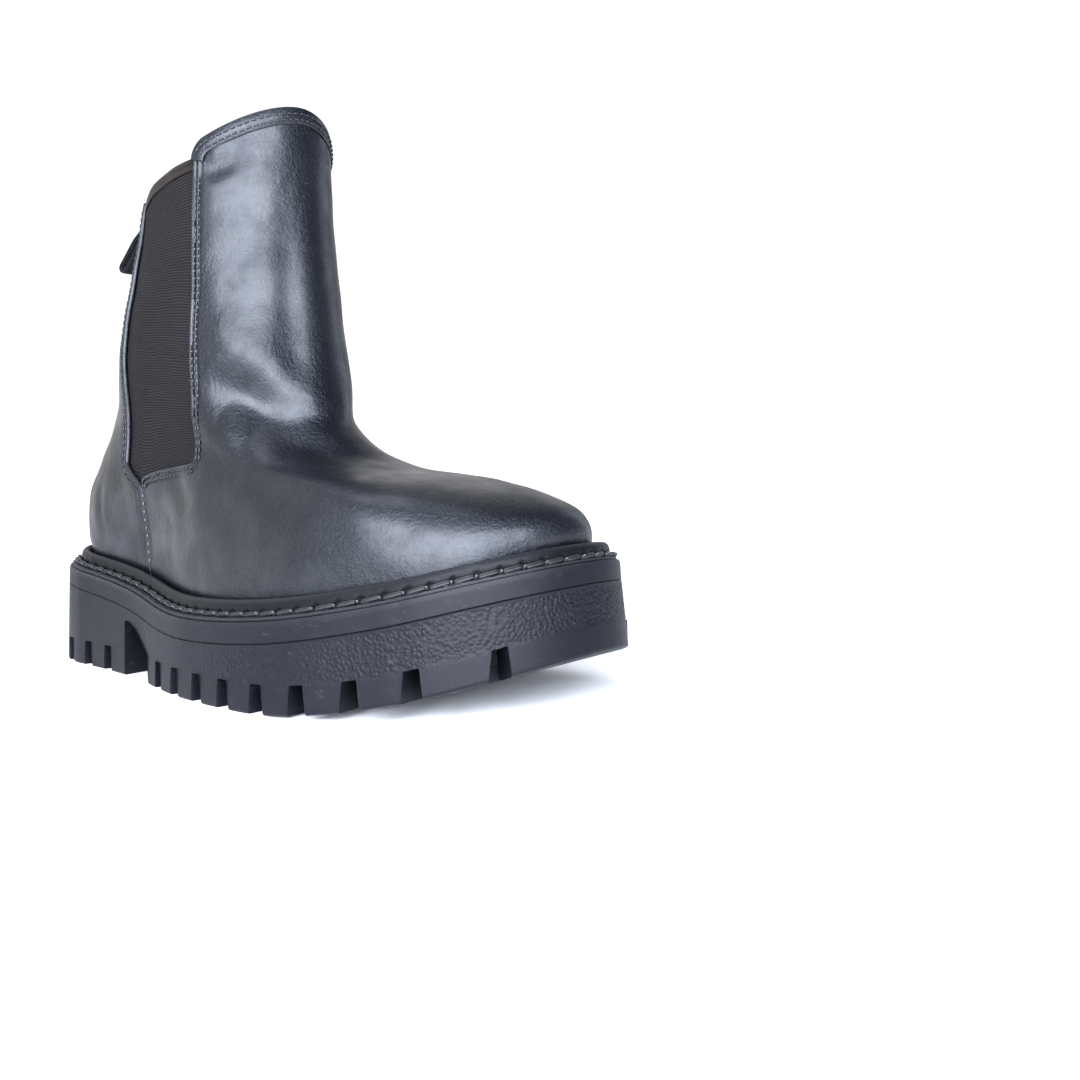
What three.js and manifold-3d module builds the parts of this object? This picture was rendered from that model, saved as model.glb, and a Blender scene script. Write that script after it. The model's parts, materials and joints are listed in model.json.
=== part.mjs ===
// Chelsea boot, right foot: lugged unit sole, storm welt, one-piece vamp, elastic gores, pull tab.
// Millimetres, +Z up, toe towards -Y, heel towards +Y, outer (lateral) side towards -X.
import * as THREE from "three";
import { mergeVertices } from "three/addons/utils/BufferGeometryUtils.js";
import Module from "manifold-3d";

const wasm = await Module();
wasm.setup();

// Driving dimensions.
const SOLE_LENGTH = 305;
const TREAD_DEPTH = 11;
const RIM_INSET = 1.5;
const TOE_LEAN = 1.5;
const FEATHER_INSET = 12.5;
const LEATHER = 1.8;
const GAP = 0.3;
const GORE_GAP = 0.5;
const MID_LAYER = 1.1;
const LINING = 1.0;
const LASTING_MARGIN = 10;
const GORE_TUCK = 7;
const WELT_HEIGHT = 7.6;
const WELT_THREAD = 2.4;
const STITCH_THREAD = 0.7;
const BINDING = 0.7;
const BINDING_DROP = 5;
const TAB_LENGTH = 31;
const TAB_WIDTH = 21;
const TAB_WEB = 1.5;
const TAB_LOOP_GAP = 2.8;
const TAB_REST_ANGLE = 45;
const TAB_PIVOT_OUT = 5.5;
const TAB_PIVOT_DOWN = 4.5;
const STRAP_WIDTH = 15;
const STRAP_THICKNESS = 1.5;
const BOARD = 2;
const FOOTBED = 4;
const TOE_SPRING = 20.5;
const TOE_SPRING_FROM = -40;
const HEEL_BREAST_Y = 67;
const ARCH_FRONT_Y = 40;
const ARCH_HIGH = 24;
const ARCH_LOW = 11;
const RIM_BAND = 9;
const NOTCH_WIDE = 8;
const NOTCH_NARROW = 5.5;
const NOTCH_LONG = 20;
const HEEL_NOTCHES = [30, 50, 70, 90];
const FORE_NOTCHES = [151, 170, 189, 208, 228, 248, 270, 294, 325];
const CHANNEL_INSET = 16.5;
const CHANNEL_WIDE = 4.5;
const CHANNEL_DEPTH = 6;
const GROOVE_WIDE = 4.5;
const GROOVE_TURN = 0.3;
const CENTRE_GROOVES = [-108, -86, -64, -42, -20, 2, 24, 92, 114];
const SHANK_WIDTH = 14;
const SHANK_THICKNESS = 1.2;
const SHANK_ARCH = 0.3;
const FILLER_END_Y = -26;
const FOOTBED_LOW = 5.1;
const SEAM_MARGIN = 3;
const GORE_TAPE_DROP = 4.5;

// The middle of the boot seen from above, and the top of the sole seen from the side.
const MIDDLE_Y = [-152, -110, -60, 0, 60, 120, 152];
const MIDDLE_X = [12, 6.5, -1, -5, 1.5, 7, 5.5];
const RIM_Y = [-152, -100, -45, 20, 75, 152];
const RIM_Z = [54.5, 41.5, 33.5, 31.5, 38.5, 46.5];

// Each loop runs once round the boot. Half widths are given at five stations from toe to heel.
const STATIONS = [-110, -60, 0, 60, 120];
const SOLE_LOOP = {
  front: [-152.5, 0],
  back: [152.5, 0],
  widths: [56, 61, 53, 43, 40],
  round: [50, 40],
};
const UPPER_LOOPS = [
  { front: [-139.5, 54], back: [139.5, 47], widths: [43.4, 48.3, 40.3, 30.4, 27.6], round: [41, 29], plane: 0 },
  { front: [-141, 67], back: [144, 61], widths: [44, 48, 41, 33, 31.5], round: [52, 38], plane: 0.5 },
  { front: [-131, 75], back: [145, 78], widths: [41.5, 44, 39.5, 35, 32], round: [60, 44], plane: 1 },
  { front: [-107, 82], back: [137, 95], widths: [38.5, 39.5, 38, 35, 30], round: [62, 46], plane: 1 },
  { front: [-75, 86], back: [127, 110], widths: [34, 34.5, 36, 34.5, 29], round: [60, 50], plane: 1 },
  { front: [-49, 93], back: [119, 124], widths: [33.5, 33.5, 35.7, 35.5, 30.5], round: [56, 54], plane: 1 },
  { front: [-34, 105], back: [114, 138], widths: [34.4, 34.4, 36.4, 37.5, 33.5], round: [52, 55], plane: 1 },
  { front: [-27, 125], back: [109, 154], widths: [36.2, 36.2, 37.7, 38, 35.5], round: [50, 55], plane: 1 },
  { front: [-21, 158], back: [102, 174], widths: [37.5, 37.5, 38, 36.5, 35], round: [50, 54], plane: 1 },
  { front: [-17.5, 199], back: [95, 195], widths: [37.7, 37.7, 37.7, 34.5, 33], round: [50, 52], plane: 1 },
  { front: [-15.5, 239], back: [90.5, 212], widths: [37.5, 37.5, 37.5, 33.5, 31.5], round: [50, 52], plane: 1 },
];

// Levels (places between the loops, counted from 0) and lengthwise places of the seams.
const TOP_FRONT = 10;
const TOP_AT_SEAM = 9.72;
const GORE_TOP = 9.55;
const BACK_TOP = 9.97;
const QUARTER_TOP = 9.78;
const GORE_BOTTOM = 2.55;
const GORE_CORNER = 3.5;
const GORE_FRONT_Y = 14;
const GORE_BACK_Y = 78;
const SIDE_SEAM_Y = 62;
const GORE_EDGE_Y = [7, 14, 38, 62, 78, 85];
const GORE_EDGE_LEVEL = [3.15, 3.1, 2.62, 2.12, 2.3, 2.6];
const GORE_ROWS = 14;
const LEVEL_RISE = 14;
const STRAP_LEVEL = 3.3;
const LINING_LEVEL = 0.3;
const COUNTER_FRONT_Y = 74;
const PUFF_BACK_Y = -92;
const PUFF_TOP_LEVEL = 3.4;
const VAMP_COLS = 26;
const BACK_SEAM_ANGLE = 0.004;
const BACK_SPREAD = 48;
const LEVEL_ROWS = [0, 0.5, 1, 1.6, 2.2, 2.6, 2.9, 3.2, 3.5, 4, 4.5, 5.1, 5.8, 6.5, 7.3, 8.2, 9.1];

const clamp01 = (x) => Math.min(1, Math.max(0, x));
const mix = (a, b, k) => a + (b - a) * k;
const smooth = (x) => clamp01(x) * clamp01(x) * (3 - 2 * clamp01(x));

// A smooth curve through (xs, ys), held level past both ends.
function curve(xs, ys, x) {
  const last = xs.length - 1;
  const at = Math.min(xs[last], Math.max(xs[0], x));
  let i = 0;
  while (i < last - 1 && at > xs[i + 1]) i++;
  const slope = (k) => {
    const a = Math.max(0, k - 1);
    const b = Math.min(last, k + 1);
    return (ys[b] - ys[a]) / (xs[b] - xs[a]);
  };
  const span = xs[i + 1] - xs[i];
  const s = (at - xs[i]) / span;
  const rise = ys[i + 1] - ys[i];
  const m0 = slope(i) * span;
  const m1 = slope(i + 1) * span;
  return ys[i] + s * m0 + s * s * (3 * rise - 2 * m0 - m1) + s * s * s * (m0 + m1 - 2 * rise);
}

const middleX = (y) => curve(MIDDLE_Y, MIDDLE_X, y);
const rimZ = (y) => curve(RIM_Y, RIM_Z, y);
const endRound = (d) => Math.sqrt(1 - (1 - clamp01(d)) ** 2);

// The numbers of a loop at any level between the key loops.
const LEVELS = UPPER_LOOPS.map((_, i) => i);
const levelValue = (pick, level) => curve(LEVELS, UPPER_LOOPS.map(pick), level);
function loopAt(level) {
  const v = (pick) => levelValue(pick, level);
  return {
    front: [v((l) => l.front[0]), v((l) => l.front[1])],
    back: [v((l) => l.back[0]), v((l) => l.back[1])],
    widths: STATIONS.map((_, k) => v((l) => l.widths[k])),
    round: [v((l) => l.round[0]), v((l) => l.round[1])],
    plane: clamp01(v((l) => l.plane)),
  };
}

// A point of a loop: angle 0 is the toe, PI the heel, PI/2 the outer side, -PI/2 the inner side.
function loopPoint(loop, angle) {
  const u = (1 - Math.cos(angle)) / 2;
  const y = mix(loop.front[0], loop.back[0], u);
  const ends = endRound((y - loop.front[0]) / loop.round[0]) * endRound((loop.back[0] - y) / loop.round[1]);
  const x = middleX(y) - Math.sign(Math.sin(angle)) * curve(STATIONS, loop.widths, y) * ends;
  return new THREE.Vector3(x, y, mix(loop.front[1], loop.back[1], u));
}

// The outer face of the upper. Below level 0 it turns in under the foot as the lasting margin.
function upperPoint(level, angle) {
  const loop = loopAt(Math.max(0, level));
  const p = loopPoint(loop, angle);
  const rise = GAP + Math.max(0, level) * LEVEL_RISE;
  p.z = mix(rimZ(p.y) + rise, p.z, loop.plane);
  if (level < 0) {
    const step = 1e-3;
    const before = loopPoint(loop, angle - step);
    const after = loopPoint(loop, angle + step);
    const inward = new THREE.Vector3(after.y - before.y, before.x - after.x, 0).normalize();
    p.addScaledVector(inward, -level * LASTING_MARGIN);
    p.z = rimZ(p.y) + GAP;
  }
  return p;
}

function upperNormal(level, angle) {
  const step = 1e-3;
  const low = Math.max(0, level - 0.02);
  const up = upperPoint(low + 0.04, angle).sub(upperPoint(low, angle));
  const round = upperPoint(level, angle + step).sub(upperPoint(level, angle - step));
  return up.cross(round).normalize();
}

// A point `depth` inside the outer face of the upper.
function layerPoint(level, angle, depth) {
  if (level < 0) return upperPoint(level, angle).add(new THREE.Vector3(0, 0, depth));
  const p = upperPoint(level, angle);
  return p.addScaledVector(upperNormal(level, angle), -depth);
}

// The angle at which a level crosses a lengthwise place y, on the outer side.
function angleAt(level, y) {
  const loop = loopAt(Math.max(0, level));
  return Math.acos(1 - 2 * clamp01((y - loop.front[0]) / (loop.back[0] - loop.front[0])));
}

// A mesh from points and faces.
function shape(points, faces) {
  const geometry = new THREE.BufferGeometry();
  geometry.setAttribute("position", new THREE.Float32BufferAttribute(points.flatMap((p) => [p.x, p.y, p.z]), 3));
  geometry.setIndex(faces);
  return geometry;
}

// A closed solid between an outer and an inner grid of points, both counted [row][column].
function solidBetween(outer, inner) {
  const rows = outer.length;
  const cols = outer[0].length;
  const at = (side, r, c) => side * rows * cols + r * cols + c;
  const faces = [];
  const quad = (a, b, c, d) => faces.push(a, c, b, a, d, c);
  for (let r = 0; r < rows - 1; r++) {
    for (let c = 0; c < cols - 1; c++) {
      quad(at(0, r, c), at(0, r + 1, c), at(0, r + 1, c + 1), at(0, r, c + 1));
      quad(at(1, r, c), at(1, r, c + 1), at(1, r + 1, c + 1), at(1, r + 1, c));
    }
    quad(at(0, r + 1, 0), at(0, r, 0), at(1, r, 0), at(1, r + 1, 0));
    quad(at(0, r, cols - 1), at(0, r + 1, cols - 1), at(1, r + 1, cols - 1), at(1, r, cols - 1));
  }
  for (let c = 0; c < cols - 1; c++) {
    quad(at(0, 0, c), at(0, 0, c + 1), at(1, 0, c + 1), at(1, 0, c));
    quad(at(0, rows - 1, c + 1), at(0, rows - 1, c), at(1, rows - 1, c), at(1, rows - 1, c + 1));
  }
  return shape([...outer.flat(), ...inner.flat()], faces);
}

// A closed solid from level rings of points, bottom ring first, capped straight across the boot.
function stackRings(rings) {
  const n = rings[0].length;
  const faces = [];
  for (let r = 0; r < rings.length - 1; r++)
    for (let i = 0; i < n; i++) {
      const j = (i + 1) % n;
      faces.push(r * n + i, r * n + n + i, r * n + n + j, r * n + i, r * n + n + j, r * n + j);
    }
  const top = (rings.length - 1) * n;
  for (let i = 0; i < n / 2 - 1; i++) {
    const a = n - 1 - i;
    faces.push(i, i + 1, a - 1, i, a - 1, a);
    faces.push(top + i, top + a - 1, top + i + 1, top + i, top + a, top + a - 1);
  }
  return shape(rings.flat(), faces);
}

// A section of [out, across] pairs carried along stations that each hold a point and two directions.
function sweep(stations, outline) {
  const flat = outline.map(([a, b]) => new THREE.Vector2(a, b));
  const section = THREE.ShapeUtils.area(flat) > 0 ? [...outline].reverse() : outline;
  const m = section.length;
  const count = stations.length;
  const points = stations.flatMap(({ at, out, across }) =>
    section.map(([a, b]) => at.clone().addScaledVector(out, a).addScaledVector(across, b)),
  );
  const faces = [];
  for (let i = 0; i < count - 1; i++)
    for (let k = 0; k < m; k++) {
      const next = (i + 1) * m;
      const l = (k + 1) % m;
      faces.push(i * m + k, i * m + l, next + l, i * m + k, next + l, next + k);
    }
  const end = (count - 1) * m;
  for (const [a, b, c] of THREE.ShapeUtils.triangulateShape(section.map(([a, b]) => new THREE.Vector2(a, b)), []))
    faces.push(a, b, c, end + a, end + c, end + b);
  return shape(points, faces);
}

const toSolid = (geometry) => {
  const bare = geometry.index ? geometry.clone() : geometry;
  bare.deleteAttribute("normal");
  bare.deleteAttribute("uv");
  const merged = mergeVertices(bare, 1e-3);
  return new wasm.Manifold(
    new wasm.Mesh({
      numProp: 3,
      vertProperties: new Float32Array(merged.attributes.position.array),
      triVerts: new Uint32Array(merged.index.array),
    }),
  );
};

const toGeometry = (solid) => {
  const mesh = solid.getMesh();
  const geometry = new THREE.BufferGeometry();
  geometry.setAttribute("position", new THREE.Float32BufferAttribute(Array.from(mesh.vertProperties), 3));
  geometry.setIndex(Array.from(mesh.triVerts));
  return geometry;
};

// Levels of the rows of a panel, closer together where the gore's bottom edge turns.
function rowLevels(bottom, top) {
  const between = LEVEL_ROWS.filter((l) => l > bottom + 0.15 && l < top - 0.2);
  return [bottom, ...between, top];
}

// A panel of the upper from edge to edge: `edges` gives its two angles at a level.
function panel({ bottom, top, edges, depths, cols, rows }) {
  const levels = rows
    ? Array.from({ length: rows + 1 }, (_, r) => mix(bottom, TOP_FRONT, r / rows))
    : rowLevels(bottom, TOP_FRONT);
  const face = (depth) =>
    levels.map((level) =>
      Array.from({ length: cols + 1 }, (_, c) => {
        const fitted = bottom + ((level - bottom) * (top(c / cols) - bottom)) / (TOP_FRONT - bottom);
        const [from, to] = edges(fitted);
        return layerPoint(fitted, mix(from, to, c / cols), depth);
      }),
    );
  const [outer, inner] = depths;
  return solidBetween(face(outer), face(inner));
}

// The rear edge of the vamp: the side seam below the gore, then the gore's bottom and front edges.
function vampEdgeY(level) {
  return mix(SIDE_SEAM_Y, GORE_FRONT_Y, smooth((level - GORE_BOTTOM) / (GORE_CORNER - GORE_BOTTOM)));
}

// The front edge of the quarter: the side seam below the gore, then the gore's rear edge.
function quarterEdgeY(level) {
  return mix(SIDE_SEAM_Y + 1, GORE_BACK_Y, smooth((level - GORE_BOTTOM + 0.3) / 0.9));
}

// The top edge of the back dips a little towards the gores.
const backTop = (away) => mix(BACK_TOP, QUARTER_TOP, away * away);

// The vamp's top edge drops from its peak at the front to the seams.
const vampTop = (j) => mix(TOP_FRONT, TOP_AT_SEAM, Math.abs(2 * j - 1) ** 1.6);

const around = (y) => (level) => {
  const a = angleAt(level, y(level));
  return [a, -a];
};
const vampPanel = (bottom, depths, cols) =>
  panel({ bottom, top: vampTop, edges: around(vampEdgeY), depths, cols });

const quarterPanel = (bottom, depths, cols, side) =>
  panel({
    bottom,
    top: (j) => backTop(side > 0 ? j : 1 - j),
    edges: (level) => {
      const seam = angleAt(level, quarterEdgeY(level));
      const back = Math.PI - BACK_SEAM_ANGLE;
      return side > 0 ? [back, seam] : [-seam, -back];
    },
    depths,
    cols,
  });

// A piece that wraps round the heel between two mirrored edges.
const heelPanel = (bottom, top, edgeY, depths, cols, rows) =>
  panel({
    bottom,
    top,
    edges: (level) => {
      const a = angleAt(level, edgeY(level));
      return [2 * Math.PI - a, a];
    },
    depths,
    cols,
    rows,
  });

function gorePanel(cols, side) {
  const depth = LEATHER + GORE_GAP;
  const face = (d) =>
    Array.from({ length: GORE_ROWS + 1 }, (_, r) =>
      Array.from({ length: cols + 1 }, (_, c) => {
        const j = side > 0 ? 1 - c / cols : c / cols;
        const y = mix(GORE_FRONT_Y - GORE_TUCK, GORE_BACK_Y + GORE_TUCK, j);
        const level = mix(curve(GORE_EDGE_Y, GORE_EDGE_LEVEL, y), mix(GORE_TOP, GORE_TOP + 0.12, j), r / GORE_ROWS);
        return layerPoint(level, side * angleAt(level, y), d);
      }),
    );
  return solidBetween(face(depth), face(depth + MID_LAYER));
}

// Where a seam runs over the upper: the point, the way out, and the way across the seam.
function seamStations(path, count) {
  return Array.from({ length: count + 1 }, (_, i) => {
    const [level, angle] = path(i / count);
    const [nextLevel, nextAngle] = path(i / count + 1e-3);
    const at = upperPoint(level, angle);
    const along = upperPoint(nextLevel, nextAngle).sub(at).normalize();
    const out = upperNormal(level, angle);
    return { at, out, across: out.clone().cross(along).normalize() };
  });
}

const threadSection = (radius, lift) => [
  [lift, -radius],
  [lift + 2 * radius, -radius],
  [lift + 2 * radius, radius],
  [lift, radius],
];

function seamThread(path, count) {
  return sweep(seamStations(path, count), threadSection(STITCH_THREAD / 2, GAP));
}

// The seam that holds the gore runs just inside the vamp's edge.
function goreSeamPath(side) {
  return (k) => {
    const level = mix(GORE_BOTTOM + 0.02, TOP_AT_SEAM - 0.4, k);
    const y = vampEdgeY(level + 0.22) - SEAM_MARGIN;
    return [level - 0.1, side * angleAt(level - 0.1, y)];
  };
}

function sideSeamPath(side) {
  return (k) => {
    const level = mix(0.75, GORE_BOTTOM - 0.35, k);
    return [level, side * angleAt(level, SIDE_SEAM_Y - SEAM_MARGIN)];
  };
}

// The line along the vamp's top edge, from the inner seam round the front to the outer seam.
function topEdgePath(k) {
  const level = vampTop(k);
  const edge = angleAt(level, GORE_FRONT_Y);
  return [level, mix(-edge, edge, k)];
}

// A folded tape: one leg outside, one inside, closed over the edge.
function foldedTape(path, count, outside, inside, drop) {
  const stations = seamStations(path, count);
  const section = [
    [outside, drop],
    [outside, -GAP],
    [-inside, -GAP],
    [-inside, drop],
    [-inside - BINDING, drop],
    [-inside - BINDING, -GAP - BINDING],
    [outside + BINDING, -GAP - BINDING],
    [outside + BINDING, drop],
  ];
  return sweep(stations, section);
}

// The sole's edge seen from above, moved in by `inset`.
function soleEdge(angle, inset) {
  const step = 1e-3;
  const before = loopPoint(SOLE_LOOP, angle - step);
  const after = loopPoint(SOLE_LOOP, angle + step);
  const inward = new THREE.Vector3(after.y - before.y, before.x - after.x, 0).normalize();
  const p = loopPoint(SOLE_LOOP, angle).addScaledVector(inward, inset);
  return { p, inward };
}

const treadZ = (y) => TOE_SPRING * Math.max(0, (TOE_SPRING_FROM - y) / (TOE_SPRING_FROM + SOLE_LENGTH / 2)) ** 2;

const ringAngles = (n) => Array.from({ length: n }, (_, i) => (2 * Math.PI * (i + 0.5)) / n);
const soleRingAt = (n, inset, height) =>
  ringAngles(n).map((angle) => {
    const { p } = soleEdge(angle, typeof inset === "function" ? inset(angle) : inset);
    p.z = height(p.y);
    return p;
  });

// A plate that lies on the sole between two heights above the rim.
const solePlate = (n, inset, low, high) =>
  stackRings([soleRingAt(n, inset, (y) => rimZ(y) + low), soleRingAt(n, inset, (y) => rimZ(y) + high)]);

// A ring on the sole whose section is a closed outline of [inset, height] pairs, clockwise.
function soleBand(n, section, height) {
  const rings = [...section, section[0]].map(([inset, above]) => soleRingAt(n, inset, (y) => height(y) + above));
  const faces = [];
  for (let r = 0; r < section.length; r++)
    for (let i = 0; i < n; i++) {
      const j = (i + 1) % n;
      faces.push(r * n + i, r * n + n + j, r * n + n + i, r * n + i, r * n + j, r * n + n + j);
    }
  return shape(rings.flat(), faces);
}

// Distance round the sole's edge from the back of the heel, as a list of [distance, angle].
function edgeDistances() {
  const steps = 400;
  const list = [[0, Math.PI]];
  let before = soleEdge(Math.PI, 0).p;
  for (let i = 1; i <= steps; i++) {
    const angle = Math.PI * (1 - i / steps);
    const { p } = soleEdge(angle, 0);
    list.push([list[i - 1][0] + p.distanceTo(before), angle]);
    before = p;
  }
  return list;
}

// The wedge-shaped gap between two lugs at the sole's edge.
function notchCutter(angle) {
  const { p, inward } = soleEdge(angle, 0);
  const outline = new THREE.Shape();
  outline.moveTo(-NOTCH_WIDE / 2 - 0.3, -2);
  outline.lineTo(NOTCH_WIDE / 2 + 0.3, -2);
  outline.lineTo(NOTCH_NARROW / 2, TREAD_DEPTH);
  outline.lineTo(-NOTCH_NARROW / 2, TREAD_DEPTH);
  const wedge = new THREE.ExtrudeGeometry(outline, { depth: NOTCH_LONG, bevelEnabled: false });
  const up = new THREE.Vector3(0, 0, 1);
  const sideways = up.clone().cross(inward);
  const place = new THREE.Matrix4().makeBasis(sideways, up, inward);
  place.setPosition(p.x - inward.x * 3, p.y - inward.y * 3, treadZ(p.y));
  return wedge.applyMatrix4(place);
}

function boxCutter(x, y, z, wide, long, high, turn = 0) {
  const box = new THREE.BoxGeometry(wide, long, high);
  box.rotateZ(turn);
  return box.translate(x, y, z);
}

// The gap under the arch, in front of the heel.
function archCutter() {
  const outline = new THREE.Shape();
  outline.moveTo(ARCH_FRONT_Y, -2);
  outline.lineTo(HEEL_BREAST_Y, -2);
  outline.lineTo(HEEL_BREAST_Y - 1.5, ARCH_HIGH);
  outline.lineTo(HEEL_BREAST_Y - 11, ARCH_HIGH - 3);
  outline.lineTo(ARCH_FRONT_Y - 2, ARCH_LOW);
  const gap = new THREE.ExtrudeGeometry(outline, { depth: 140, bevelEnabled: false });
  gap.translate(0, 0, -70);
  const place = new THREE.Matrix4().makeBasis(
    new THREE.Vector3(0, 1, 0),
    new THREE.Vector3(0, 0, 1),
    new THREE.Vector3(1, 0, 0),
  );
  return gap.applyMatrix4(place);
}

// The sidewall leans in towards its top, most at the toe.
const rimInset = (angle) => RIM_INSET + TOE_LEAN * smooth(2 * Math.cos(angle) - 1);

function outsole() {
  const n = 72;
  let sole = toSolid(
    stackRings([
      soleRingAt(n, 0, treadZ),
      soleRingAt(n, (angle) => 0.8 * rimInset(angle), (y) => rimZ(y) - RIM_BAND),
      soleRingAt(n, rimInset, rimZ),
    ]),
  );
  const cut = (geometry) => {
    sole = sole.subtract(toSolid(geometry));
  };
  const distances = edgeDistances();
  for (const distance of [...HEEL_NOTCHES, ...FORE_NOTCHES]) {
    const [, angle] = distances.find(([d]) => d >= distance);
    cut(notchCutter(angle));
    cut(notchCutter(-angle));
  }
  cut(archCutter());
  const channel = [
    [CHANNEL_INSET, -2],
    [CHANNEL_INSET + CHANNEL_WIDE, -2],
    [CHANNEL_INSET + CHANNEL_WIDE, CHANNEL_DEPTH],
    [CHANNEL_INSET, CHANNEL_DEPTH],
  ];
  cut(soleBand(48, channel, treadZ));
  CENTRE_GROOVES.forEach((y, i) => {
    const turn = (i % 2 ? -1 : 1) * GROOVE_TURN;
    const wide = 2 * (curve(STATIONS, SOLE_LOOP.widths, y) - CHANNEL_INSET - CHANNEL_WIDE / 2);
    cut(boxCutter(middleX(y), y, treadZ(y) + CHANNEL_DEPTH / 2 - 2, wide, GROOVE_WIDE, CHANNEL_DEPTH + 4, turn));
  });
  return toGeometry(sole);
}

function bottomFiller() {
  const plate = toSolid(solePlate(40, FEATHER_INSET + LASTING_MARGIN + 3, GAP, LEATHER + GAP));
  return toGeometry(plate.subtract(toSolid(boxCutter(0, 100 + FILLER_END_Y, 50, 200, 200, 100))));
}

function shank() {
  const rows = Array.from({ length: 13 }, (_, i) => mix(FILLER_END_Y + 6, 92, i / 12));
  const face = (height) =>
    rows.map((y) =>
      [-SHANK_WIDTH / 2, SHANK_WIDTH / 2].map(
        (x) => new THREE.Vector3(middleX(y) + x, y, rimZ(y) + height + SHANK_ARCH * Math.sin(((y + 20) / 112) * Math.PI)),
      ),
    );
  return solidBetween(face(GAP + SHANK_THICKNESS), face(GAP));
}

// The fold of webbing at the top of the back, drawn lying along +Y from its hinge, then tilted down.
const tabRoot = upperPoint(BACK_TOP, Math.PI);
const tabPivot = new THREE.Vector3(tabRoot.x, tabRoot.y + TAB_PIVOT_OUT, tabRoot.z - TAB_PIVOT_DOWN);

function pullTab() {
  const root = TAB_WEB + 0.2;
  const end = TAB_LOOP_GAP / 2 + TAB_WEB;
  const outline = new THREE.Shape();
  outline.moveTo(-root, -root);
  outline.lineTo(5, -root);
  outline.lineTo(14, -end);
  outline.lineTo(TAB_LENGTH - end, -end);
  outline.absarc(TAB_LENGTH - end, 0, end, -Math.PI / 2, Math.PI / 2, false);
  outline.lineTo(14, end);
  outline.lineTo(5, root);
  outline.lineTo(-root, root);
  const hole = new THREE.Path();
  hole.moveTo(9, 0);
  hole.lineTo(15, TAB_LOOP_GAP / 2);
  hole.lineTo(TAB_LENGTH - end, TAB_LOOP_GAP / 2);
  hole.absarc(TAB_LENGTH - end, 0, TAB_LOOP_GAP / 2, Math.PI / 2, -Math.PI / 2, true);
  hole.lineTo(15, -TAB_LOOP_GAP / 2);
  outline.holes.push(hole);
  const tab = new THREE.ExtrudeGeometry(outline, { depth: TAB_WIDTH, bevelEnabled: false, curveSegments: 6 });
  tab.translate(0, 0, -TAB_WIDTH / 2);
  const down = THREE.MathUtils.degToRad(TAB_REST_ANGLE);
  const place = new THREE.Matrix4().makeBasis(
    new THREE.Vector3(0, Math.cos(down), -Math.sin(down)),
    new THREE.Vector3(0, Math.sin(down), Math.cos(down)),
    new THREE.Vector3(1, 0, 0),
  );
  place.setPosition(tabPivot);
  return toGeometry(toSolid(tab.applyMatrix4(place)));
}

const backStrap = () =>
  panel({
    bottom: STRAP_LEVEL,
    top: () => BACK_TOP,
    edges: () => [Math.PI + STRAP_WIDTH / 2 / BACK_SPREAD, Math.PI - STRAP_WIDTH / 2 / BACK_SPREAD],
    depths: [-GAP - STRAP_THICKNESS, -GAP],
    cols: 4,
    rows: 12,
  });

function goreTape(side) {
  const path = (k) => {
    const j = side > 0 ? k : 1 - k;
    const y = mix(GORE_FRONT_Y + 1, GORE_BACK_Y - 1, j);
    const level = mix(GORE_TOP, GORE_TOP + 0.12, (y - GORE_FRONT_Y + GORE_TUCK) / (GORE_BACK_Y - GORE_FRONT_Y + 2 * GORE_TUCK));
    return [level, side * angleAt(level, y)];
  };
  const faceDepth = LEATHER + GORE_GAP;
  return foldedTape(path, 10, -faceDepth + GAP, faceDepth + MID_LAYER + GAP, GORE_TAPE_DROP);
}

const FINISHES = {
  leather: [0x17181c, 0.42, 0],
  elastic: [0x2a2624, 0.9, 0],
  rubber: [0x26272a, 0.75, 0],
  webbing: [0x141416, 0.85, 0],
  thread: [0x1c1c1f, 0.6, 0],
  tape: [0x322a25, 0.8, 0],
  lining: [0x4a4038, 0.8, 0],
  board: [0x9a8464, 0.9, 0],
  steel: [0x8d9094, 0.35, 1],
  stiffener: [0xb9a88a, 0.8, 0],
};

const STIFFENER = [LEATHER + 0.95, LEATHER + 1.6];
const INNER = LEATHER + MID_LAYER + 3.5 * GAP;
const WELT_SECTION = [
  [3, GAP],
  [FEATHER_INSET - GAP, GAP],
  [FEATHER_INSET - 2.2, WELT_HEIGHT - 1.2],
  [FEATHER_INSET - 3, WELT_HEIGHT],
  [7.6, WELT_HEIGHT],
  [6.6, WELT_HEIGHT - 1.2],
  [6.4, 2],
  [3, 1.7],
];
const WELT_STITCH_SECTION = [
  [3.6, 2.1],
  [3.6 + WELT_THREAD, 2.2],
  [3.6 + WELT_THREAD, 2.2 + WELT_THREAD * 0.8],
  [3.6, 2.1 + WELT_THREAD * 0.8],
];

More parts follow.
